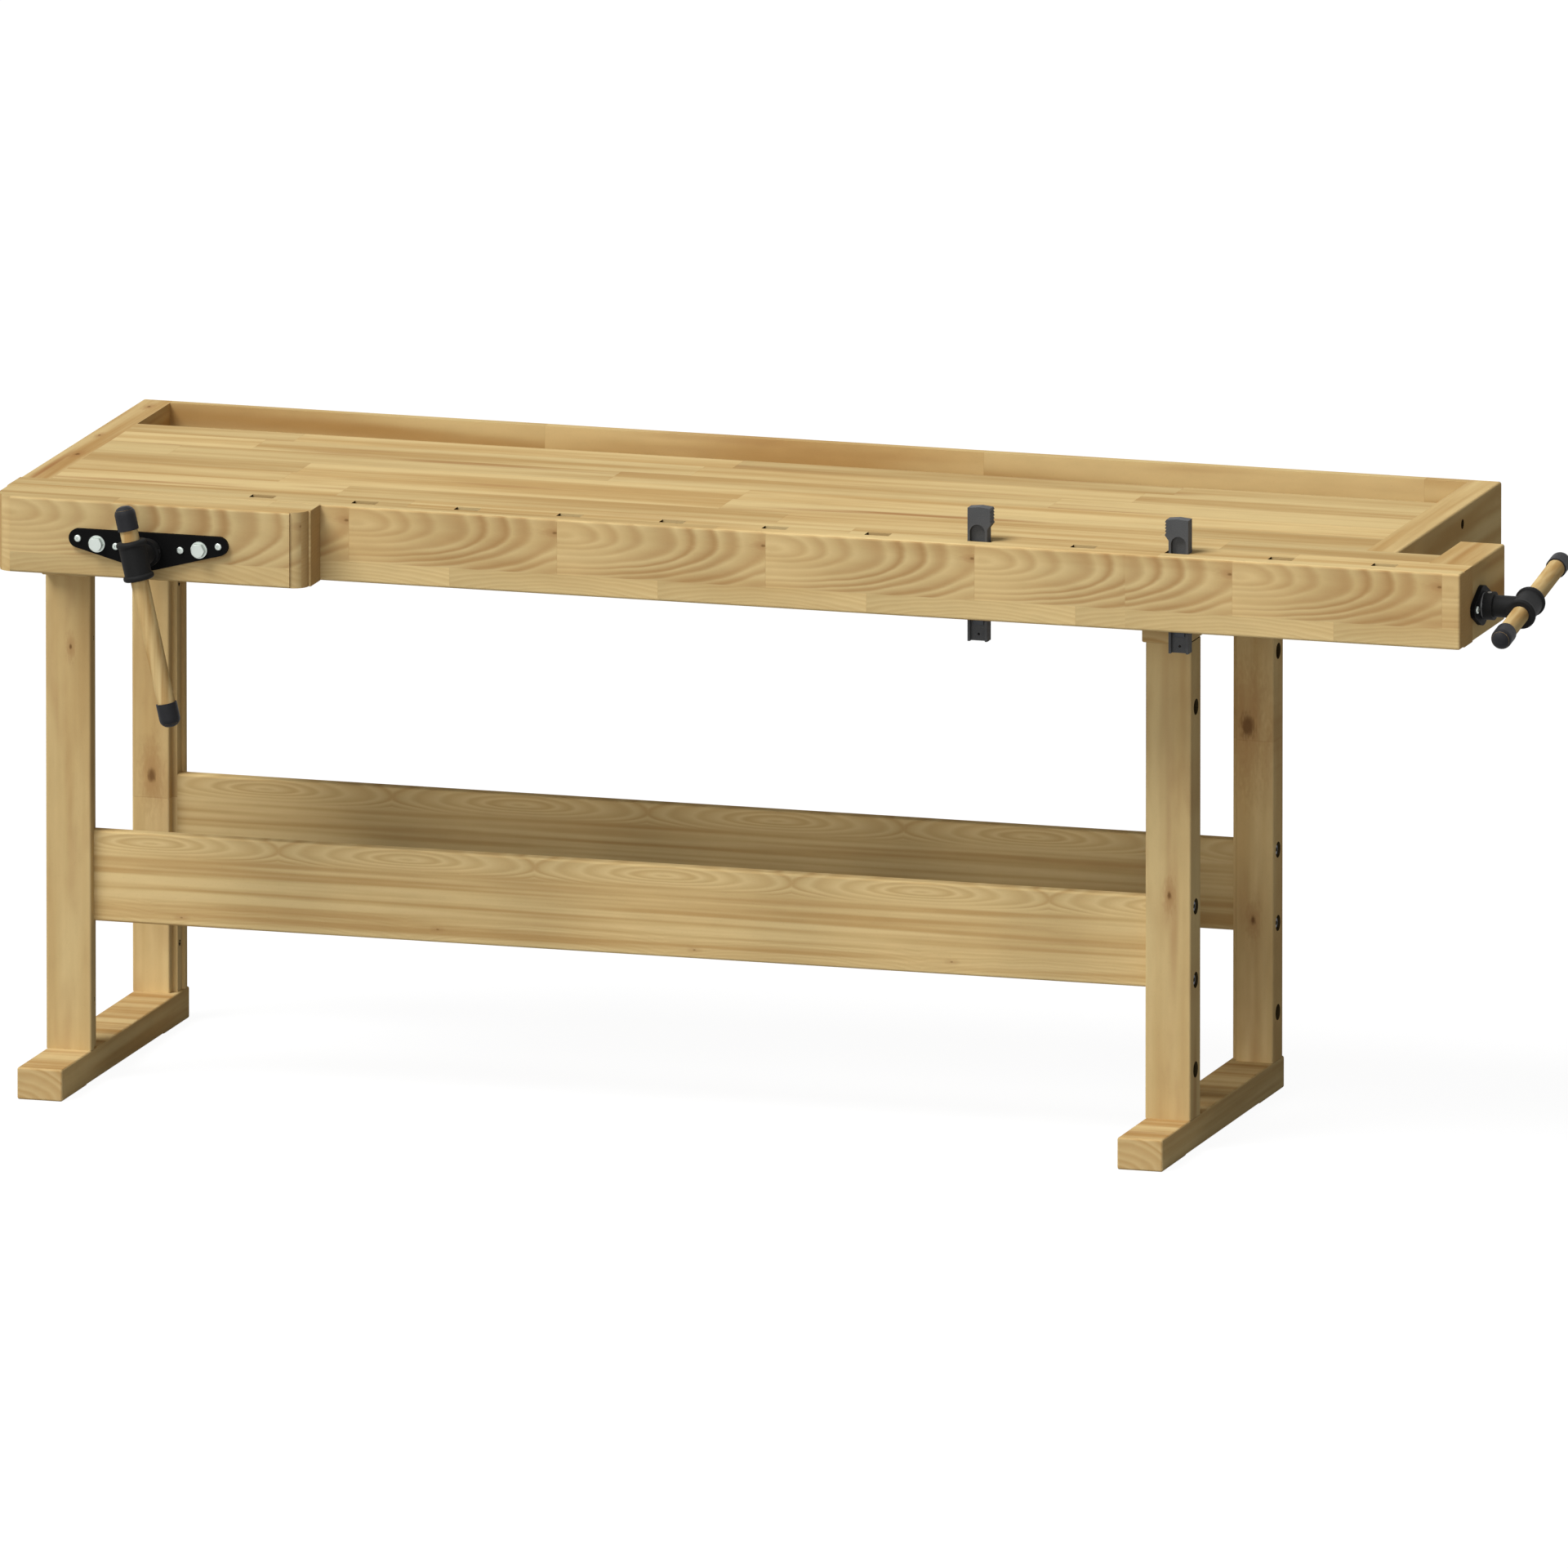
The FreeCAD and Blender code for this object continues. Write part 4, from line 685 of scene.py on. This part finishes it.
def stave_board(name, seed, hole_painted_shade=None, **figure):
    """A board of staves glued side by side; a hole shade darkens its hidden ends as painted shade.
    """
    board = Board(name, "x")
    across = board.graph.minus(board.across, BENCH_FRONT)
    return board.finish(board.ends(board.staved(seed, across, **figure), hole_painted_shade=hole_painted_shade))


def plain_board(name, grain, shift, knots=(), warmth=0.0, bores=None, **figure):
    """One solid board, redder by its warmth; bores gives its box if its bores get painted shade."""
    board = Board(name, grain)
    tint = board.stain(board.streaked(shift, **figure), "heart", warmth)
    tint = board.ends(board.knots(tint, knots))
    return board.finish(board.shade_bores(tint, *bores) if bores else tint)


# Legs: soft clouds, and a butt joint with other streaks above it.
# The front legs' colour is multiplied by 0.94 and the back legs' by 1.10: the back legs get painted
# light against the shade under the top.
FRONT_LEG_TONE = 0.94
BACK_LEG_PAINTED_LIGHT = 1.10
DARKER_ABOVE = 0.04
LEG_SHIFT, NEXT_LEG_SHIFT, SHIFT_ABOVE = 0.21, 0.17, 0.37
LEG_CLOUDS = (7.0, 30.0)
LEG_CLOUD_SEED = 3.0
LEG_CLOUD_RANGE = (0.45, 0.75)
LEG_CLOUD_STRENGTH = 0.30
LEG_JOINT_STRENGTH = 0.3


def leg_board(name, low, high, number, joint, knots):
    """A leg with a butt joint at this height, soft clouds and painted shade in its bores."""
    board = Board(name, "z")
    graph = board.graph
    above = graph.math("GREATER_THAN", board.z, joint)
    shift = graph.math("MULTIPLY_ADD", above, SHIFT_ABOVE, LEG_SHIFT + NEXT_LEG_SHIFT * number)
    tint = board.streaked(shift, bands=0.6, heart=0.7, fine=22.0)
    cloud = graph.noise(graph.vector(graph.times(board.along, LEG_CLOUDS[0]),
                                     graph.times(board.across, LEG_CLOUDS[1]),
                                     LEG_CLOUD_SEED + number))
    cloud = graph.smooth(*LEG_CLOUD_RANGE, cloud)
    tint = board.stain(tint, "heart", LEG_CLOUD_STRENGTH, cloud)
    tint = board.knots(tint, knots)
    # Back legs get painted light for the shade under the top.
    tone = BACK_LEG_PAINTED_LIGHT if low.y > 0 else FRONT_LEG_TONE
    tint = graph.shade(tint, graph.scaled(above, tone, tone - DARKER_ABOVE))
    line = board.joint_line(graph.size(graph.minus(board.z, joint)))
    tint = board.stain(tint, "heart", LEG_JOINT_STRENGTH, line)
    return board.finish(board.shade_bores(tint, low, high))


# Feet and bearers: the arcs on their ends are centred a little left of and below the foot.
ARCS_LEFT, ARCS_DOWN = 0.004, 0.012
FOOT_RED = 0.10
FOOT_END_RED = 0.24


def foot_board(name, low):
    """A foot or bearer: long streaks on its sides, streaks across its top, arcs on its ends."""
    board = Board(name, "x")
    graph = board.graph
    tint = board.streaked(0.4, bands=1.0, heart=0.8, fine=38.0)
    tint = board.stain(tint, "heart", FOOT_RED)
    arcs = graph.place("Growth rings", Along=graph.minus(board.x, low.x - ARCS_LEFT),
                       Across=graph.minus(board.z, low.z - ARCS_DOWN),
                       Ring_Width=0.017, Flatten=1.5, Sweep=1.5, Warp=0.04)
    ends = board.stain(board.paint("sapwood"), "heart", FOOT_END_RED)
    ends = graph.blend(arcs["Rings"], ends, board.paint("latewood"))
    tint = graph.blend(board.faces("y"), tint, ends)
    board.along, board.across, board.depth = board.y, board.z, board.x
    sides = board.streaked(0.9, bands=0.8, heart=0.5, fine=38.0)
    return board.finish(graph.blend(board.faces("x"), tint, sides))


# Stretchers: mirrored flames in a strip along the top, waves in a strip along the bottom and a
# row of small knots. Heights are from the board's upper or lower edge.
MIRROR_LENGTH = 0.362
MIRROR_MIDDLE = MIRROR_LENGTH / 2
MIRROR_START = 0.032
MIRRORS_BELOW_TOP = 0.014
MIRROR_STRENGTH = 0.85
UPPER_STRIP = (0.034, 0.024)
LOWER_STRIP = (0.028, 0.040)
WAVES_BELOW = 0.012
WAVE_RING_SHARE = 0.9
WAVE_STRENGTH = 0.35
SHINE_RANGE = (0.15, 0.5)
SHINE_TONES = (1.06, 0.94)
STRETCHER_SHIFT = 0.15
ROW_OF_KNOTS = 4
KNOT_IN_MIRROR = 0.62
KNOT_ABOVE_EDGE = 0.012
NEXT_KNOT_UP = 0.006


def stretcher_board(name, low, high, shift):
    """A wide board: mirrored flames along its upper edge and long streaks below them.

    The shift moves its figure along, so that the two boards differ.
    """
    board = Board(name, "x")
    graph = board.graph
    start = BENCH_LEFT - MIRROR_START + shift
    ring = board.wood.ring_width
    mirrors = board.flamed(start, MIRROR_LENGTH, (MIRROR_MIDDLE, high.z - MIRRORS_BELOW_TOP),
                           ring, flatten=6.0, sweep=9.0)
    plain = board.streaked(STRETCHER_SHIFT + shift, bands=0.80, heart=0.0, fine=120.0)
    flame = board.stain(board.paint("sapwood"), "latewood", MIRROR_STRENGTH, mirrors.rings)
    upper = graph.smooth(high.z - UPPER_STRIP[0], high.z - UPPER_STRIP[1], board.z)
    tint = graph.blend(upper, plain, flame)
    waves = board.flamed(start + MIRROR_MIDDLE, MIRROR_LENGTH,
                         (MIRROR_MIDDLE, low.z - WAVES_BELOW), ring * WAVE_RING_SHARE,
                         flatten=7.0, sweep=7.0, warp=0.05)
    above = graph.smooth(low.z + LOWER_STRIP[0], low.z + LOWER_STRIP[1], board.z)
    strength = graph.times(waves.rings, WAVE_STRENGTH)
    tint = board.stain(tint, "latewood", graph.flip(above), strength)
    shine = graph.smooth(*SHINE_RANGE, graph.size(graph.minus(mirrors.share, 0.5)))
    tint = graph.shade(tint, graph.scaled(shine, *SHINE_TONES))
    for number in range(ROW_OF_KNOTS):
        x = start + (number + KNOT_IN_MIRROR) * MIRROR_LENGTH
        z = low.z + KNOT_ABOVE_EDGE + NEXT_KNOT_UP * (number % 2)
        tint = board.knotted(tint, graph.minus(board.x, x), graph.minus(board.z, z),
                             size=0.0014, strength=0.6)
    return board.finish(board.ends(tint))


# ---- metal and plastic -----------------------------------------------------------------

CAST_RELIEF_STRENGTH = 0.5
METAL_GRAIN = 900.0
METAL_TONES = (0.86, 1.0)
SMOOTHER, ROUGHER = 0.08, 0.12


def coated(name, tint, grain, roughness, specular, relief=0.0003):
    """A coated or moulded surface with a grain of so many cells a metre and this deep relief."""
    material, graph, shader, places = new_material(name)
    shader.inputs["Roughness"].default_value = roughness
    shader.inputs["Specular IOR Level"].default_value = specular
    skin = graph.place("Cast skin", Vector=places["Object"], Grain=grain)
    graph.feed(shader.inputs["Base Color"], graph.shade((*tint, 1.0), skin["Tone"]))
    graph.raise_surface(shader, skin["Height"], CAST_RELIEF_STRENGTH, relief)
    return material


def bare_metal(name, tint, roughness):
    """Plated or ground metal with a faint bloom, rougher and smoother in places."""
    material, graph, shader, places = new_material(name)
    shader.inputs["Metallic"].default_value = 1.0
    skin = graph.place("Cast skin", Vector=places["Object"], Grain=METAL_GRAIN)
    tone = graph.scaled(skin["Tone"], *METAL_TONES)
    graph.feed(shader.inputs["Base Color"], graph.shade((*tint, 1.0), tone))
    rough = graph.scaled(skin["Height"], roughness - SMOOTHER, roughness + ROUGHER)
    graph.feed(shader.inputs["Roughness"], rough)
    return material


def dress(material, *nodes):
    """Give a material to all of these pieces."""
    for name in nodes:
        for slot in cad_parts[name].material_slots:
            slot.material = material


# ---- operators for the pieces ----------------------------------------------------------
# First butt joints of a lath's upper and lower stave, from the left end of the bench or jaw.

APRON_JOINTS = (0.1894, 0.0381)
TAIL_JOINTS = (1.4288, 1.5707)
JAW_JOINTS = (0.008, 0.0225)
JAW_FLAME_SHARE = 1.46
# The spacer blocks' ends inside the dog holes are darkened to this tone as painted shade.
SPACER_END_PAINTED_SHADE = 0.12

# Height of each leg's butt joint, then its knots by height, place beside the leg's middle and size.
LEG_FIGURE = {
    "leg_front_left": (0.70, ((0.60, 0.004, 0.0025),)),
    "leg_front_right": (0.72, ((0.352, 0.002, 0.0035),)),
    "leg_back_left": (0.314, ((0.345, -0.004, 0.0065), (0.20, 0.010, 0.004))),
    "leg_back_right": (0.487, ((0.507, -0.004, 0.0115), (0.24, 0.004, 0.004))),
}
STRETCHER_STEP = 0.04


class BENCH_OT_laths(bpy.types.Operator):
    """Flame figure for the apron, the tail vise's front and the front jaw"""
    bl_idname = "bench.laths"
    bl_label = "Finish the laths"

    def execute(self, context):
        long = context.scene.bench_wood.flame_length
        upper, lower = APRON_JOINTS
        dress(flame_board("Apron beech", BENCH_LEFT + upper, BENCH_LEFT + lower, long),
              "apron_front_lath")
        upper, lower = TAIL_JOINTS
        dress(flame_board("Tail vise beech", BENCH_LEFT + upper, BENCH_LEFT + lower, long),
              "tail_front_lath")
        upper, lower = JAW_JOINTS
        dress(flame_board("Jaw beech", JAW_LOW.x + upper, JAW_LOW.x + lower,
                          long * JAW_FLAME_SHARE, shift=0.4, tone=0.92), "front_jaw_block")
        return {"FINISHED"}


class BENCH_OT_top(bpy.types.Operator):
    """Staves of the top with their butt joints, the tray and the rails"""
    bl_idname = "bench.top"
    bl_label = "Finish the top"

    def execute(self, context):
        dress(stave_board("Top beech", TOP_SEED, contrast=0.12, bands=0.75, fine=30.0),
              "worktop_slab", "apron_back_lath", "tail_back_lath", "tail_cover",
              "tail_head_block")
        # The spacer blocks' ends inside the dog holes get painted shade.
        dress(stave_board("Spacer beech", TOP_SEED, SPACER_END_PAINTED_SHADE), "apron_spacer_blocks",
              "tail_spacer_blocks")
        low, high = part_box("end_cap_left")
        middle = (low.x + high.x) / 2
        knots = [(low.y + 0.17, middle + 0.006, 0.004), (low.y + 0.30, middle - 0.004, 0.0025),
                 (high.y - 0.05, middle + 0.002, 0.003)]
        dress(plain_board("Left cap beech", "y", 0.7, knots, warmth=0.13, bores=(low, high),
                          bands=1.0, heart=1.0, fine=40.0), "end_cap_left")
        dress(plain_board("Right cap beech", "y", 0.35, bores=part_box("end_cap_right"), bands=0.9,
                          heart=0.5, fine=32.0), "end_cap_right")
        dress(plain_board("End block beech", "y", 0.55, bands=1.0, heart=0.6, fine=26.0),
              "tail_end_block")
        dress(stave_board("Rail beech", 23.0, contrast=0.05, bands=1.0, heart=0.6, fine=26.0),
              "back_rail", "tray_lip", "tray_floor", "front_guide_block")
        return {"FINISHED"}


class BENCH_OT_base(bpy.types.Operator):
    """Plain boards of the trestles and flamed boards between them"""
    bl_idname = "bench.base"
    bl_label = "Finish the base"

    def execute(self, context):
        for number, (name, (joint, marks)) in enumerate(LEG_FIGURE.items()):
            low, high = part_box(name)
            middle = (low.x + high.x) / 2
            knots = [(height, middle + beside, size) for height, beside, size in marks]
            dress(leg_board(name.replace("_", " ") + " beech", low, high, number, joint, knots),
                  name)
        dress(foot_board("Left foot beech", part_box("foot_left")[0]), "foot_left",
              "bearer_left")
        dress(foot_board("Right foot beech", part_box("foot_right")[0]), "foot_right",
              "bearer_right", "cross_batten")
        for number, name in enumerate(("stretcher_front", "stretcher_back")):
            low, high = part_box(name)
            dress(stretcher_board(name.replace("_", " ") + " beech", low, high,
                                  STRETCHER_STEP * number), name)
        return {"FINISHED"}


class BENCH_OT_handles(bpy.types.Operator):
    """Turned bars of the vise handles and their plastic caps"""
    bl_idname = "bench.handles"
    bl_label = "Finish the handles"

    def execute(self, context):
        metal = context.scene.bench_metal
        dress(plain_board("Front handle beech", "z", 0.8, bands=1.0, heart=0.3, fine=90.0),
              "front_handle_bar")
        dress(plain_board("Tail handle beech", "y", 0.6, bands=1.0, heart=0.3, fine=90.0),
              "tail_handle_bar")
        dress(coated("Handle cap plastic", metal.cap, grain=1400.0, roughness=0.55,
                     specular=0.12), "front_handle_caps", "tail_handle_caps")
        return {"FINISHED"}


class BENCH_OT_ironwork(bpy.types.Operator):
    """Coated plates, hubs, nuts and bench dogs"""
    bl_idname = "bench.ironwork"
    bl_label = "Finish the ironwork"

    def execute(self, context):
        metal = context.scene.bench_metal
        dress(coated("Plate black", metal.plate, grain=1500.0, roughness=0.6, specular=0.04,
                     relief=0.0001), "front_plate", "tail_plate", "front_nut", "tail_nut")
        dress(coated("Hub black", metal.hub, grain=900.0, roughness=0.62, specular=0.10),
              "front_hub", "tail_hub")
        dress(coated("Dog grey", metal.dog, grain=1100.0, roughness=0.7, specular=0.12),
              "dog_a", "dog_b")
        return {"FINISHED"}


class BENCH_OT_fasteners(bpy.types.Operator):
    """Zinc bolts and washers, bright screws and rods, bronze bushes"""
    bl_idname = "bench.fasteners"
    bl_label = "Finish the fasteners"

    def execute(self, context):
        metal = context.scene.bench_metal
        dress(bare_metal("Zinc plate", metal.zinc, roughness=0.42), "barrel_nuts",
              "front_plate_screws", "front_rod_bolts", "front_rod_washers", "tail_plate_screws")
        # The bolts and washers in the bores are darkened as painted shade.
        dress(bare_metal("Dark steel", metal.shaded_bolt_steel, roughness=0.3), "stretcher_bolts",
              "stretcher_washers", "end_cap_bolts", "bearer_bolts")
        dress(bare_metal("Bright steel", metal.steel, roughness=0.32), "front_spindle",
              "tail_spindle", "front_guide_rods", "tail_guide_rods", "front_hub_pin",
              "tail_hub_pin", "front_thrust_washer", "tail_thrust_washer")
        dress(bare_metal("Blued spring", metal.blued, roughness=0.5), "dog_a_spring",
              "dog_b_spring")
        dress(bare_metal("Bush bronze", metal.bronze, roughness=0.5), "guide_bushes")
        return {"FINISHED"}


# ---- stage -----------------------------------------------------------------------------
# Lengths are in metres, and lamps shine along the ways given.

FLOOR_HALF = 30.0
FLOOR_BOUNCE = (0.30, 0.30, 0.30, 1)
FLOOR_SEEN = (0.10, 0.10, 0.10, 1)
FLOOR_GLOW = 0.94
WHITE = (1, 1, 1, 1)
KEY_WAY = (0.40, 0.42, -0.85)
FRONT_WAY = (0.0, 1.0, -0.15)
FRONT_SPREAD = math.radians(40)
BACK_WAY = (0.0, -1.0, -0.05)
BACK_SPREAD = math.radians(60)
LOOK_AT_RIGHT = 1.0236
LOOK_AT_UP = 0.0069


def aim(thing, direction):
    """Turn a lamp or camera so that it looks along a direction."""
    thing.rotation_euler = Vector(direction).to_track_quat("-Z", "Y").to_euler()


def add_sun(name, towards, share_of_light, spread):
    """A far lamp that shines this way; a share of 1 lights a facing white wall to white."""
    lamp = bpy.data.lights.new(name, "SUN")
    lamp.energy = share_of_light * math.pi
    lamp.angle = spread
    sun = bpy.data.objects.new(name, lamp)
    bpy.context.scene.collection.objects.link(sun)
    aim(sun, towards)


def seen_rays(graph):
    """1 for what the camera sees, straight or in a reflection."""
    path = graph.add("ShaderNodeLightPath").outputs
    mirrored = graph.math("MAXIMUM", path["Is Glossy Ray"], path["Is Transmission Ray"])
    return graph.math("MAXIMUM", path["Is Camera Ray"], mirrored)


def choose_shader(graph, unseen, seen, kind):
    """Show one shader to the light and another to what the camera sees."""
    choice = graph.add("ShaderNodeMixShader")
    output = graph.add(kind)
    graph.feed_each(choice.inputs, (seen_rays(graph), unseen.outputs[0], seen.outputs[0]))
    graph.feed(output.inputs[0], choice.outputs[0])


def floor_material():
    """A pale floor that looks white, keeps a faint shadow and throws little light back."""
    material = bpy.data.materials.new("Floor")
    material.use_nodes = True
    material.node_tree.nodes.clear()
    graph = Graph(material.node_tree)
    bounce = graph.add("ShaderNodeBsdfDiffuse")
    bounce.inputs["Color"].default_value = FLOOR_BOUNCE
    soft = graph.add("ShaderNodeBsdfDiffuse")
    soft.inputs["Color"].default_value = FLOOR_SEEN
    glow = graph.add("ShaderNodeEmission")
    glow.inputs["Strength"].default_value = FLOOR_GLOW
    white = graph.add("ShaderNodeAddShader")
    graph.feed_each(white.inputs, (soft.outputs[0], glow.outputs[0]))
    choose_shader(graph, bounce, white, "ShaderNodeOutputMaterial")
    return material


def add_world(sky_light):
    """Even light all around, with white behind whatever the camera sees."""
    world = bpy.data.worlds.new("Studio")
    bpy.context.scene.world = world
    world.use_nodes = True
    world.node_tree.nodes.clear()
    graph = Graph(world.node_tree)
    light = graph.add("ShaderNodeBackground")
    light.inputs["Strength"].default_value = sky_light
    white = graph.add("ShaderNodeBackground")
    for background in (light, white):
        background.inputs["Color"].default_value = WHITE
    choose_shader(graph, light, white, "ShaderNodeOutputWorld")


def add_floor():
    """One large square under the bench."""
    floor = bpy.data.meshes.new("floor")
    builder = bmesh.new()
    corners = [builder.verts.new((FLOOR_HALF * x, FLOOR_HALF * y, 0.0))
               for x, y in ((-1, -1), (1, -1), (1, 1), (-1, 1))]
    builder.faces.new(corners)
    builder.to_mesh(floor)
    builder.free()
    floor.materials.append(floor_material())
    ground = bpy.data.objects.new("floor", floor)
    bpy.context.scene.collection.objects.link(ground)


def add_camera(stage):
    """A camera so far off that its lens sees the bench almost in parallel."""
    low, high = cad_box
    forward = Vector((-math.sin(stage.azimuth) * math.cos(stage.elevation),
                      math.cos(stage.azimuth) * math.cos(stage.elevation),
                      -math.sin(stage.elevation)))
    lens = bpy.data.cameras.new("camera")
    lens.sensor_fit = "HORIZONTAL"
    lens.lens = stage.lens
    away = stage.frame_width * lens.lens / lens.sensor_width
    lens.clip_end = 4 * away
    camera = bpy.data.objects.new("camera", lens)
    bpy.context.scene.collection.objects.link(camera)
    target = Vector((BENCH_LEFT + LOOK_AT_RIGHT, 0.0, (low[2] + high[2]) / 2 + LOOK_AT_UP))
    camera.location = target - forward * away
    aim(camera, forward)
    bpy.context.scene.camera = camera


class BENCH_OT_stage(bpy.types.Operator):
    """Pale floor, soft lamps and a camera with a long lens"""
    bl_idname = "bench.stage"
    bl_label = "Set the stage"

    def execute(self, context):
        stage = context.scene.bench_stage
        add_floor()
        add_world(stage.sky_light)
        add_sun("key", KEY_WAY, stage.key_light, stage.key_spread)
        add_sun("front", FRONT_WAY, stage.front_light, FRONT_SPREAD)
        add_sun("behind", BACK_WAY, stage.back_light, BACK_SPREAD)
        add_camera(stage)
        context.scene.view_settings.view_transform = "Standard"
        return {"FINISHED"}


# ---- panel and run ---------------------------------------------------------------------

STEPS = (BENCH_OT_laths, BENCH_OT_top, BENCH_OT_base, BENCH_OT_handles, BENCH_OT_ironwork,
         BENCH_OT_fasteners, BENCH_OT_stage)
SETTINGS = {"bench_wood": WoodSettings, "bench_metal": MetalSettings,
            "bench_stage": StageSettings}


class BENCH_PT_panel(bpy.types.Panel):
    """Lists the steps that finish the bench and their settings"""
    bl_label = "Joiner's bench"
    bl_idname = "BENCH_PT_panel"
    bl_space_type = "VIEW_3D"
    bl_region_type = "UI"
    bl_category = "Bench"

    def draw(self, context):
        for operator in STEPS:
            self.layout.operator(operator.bl_idname)
        for name in SETTINGS:
            settings = getattr(context.scene, name)
            box = self.layout.box()
            for setting in settings.__annotations__:
                box.prop(settings, setting)


def register():
    for group in SETTINGS.values():
        bpy.utils.register_class(group)
    for name, group in SETTINGS.items():
        setattr(bpy.types.Scene, name, bpy.props.PointerProperty(type=group))
    for operator in STEPS:
        bpy.utils.register_class(operator)
    bpy.utils.register_class(BENCH_PT_panel)


def unregister():
    bpy.utils.unregister_class(BENCH_PT_panel)
    for operator in reversed(STEPS):
        bpy.utils.unregister_class(operator)
    for name in SETTINGS:
        delattr(bpy.types.Scene, name)
    for group in reversed(SETTINGS.values()):
        bpy.utils.unregister_class(group)


def plain(box):
    """A box's two corners as lists of numbers."""
    return [[float(part) for part in corner] for corner in box]


def main():
    register()
    for operator in STEPS:
        category, name = operator.bl_idname.split(".")
        getattr(getattr(bpy.ops, category), name)()


if __name__ == "__main__":
    main()
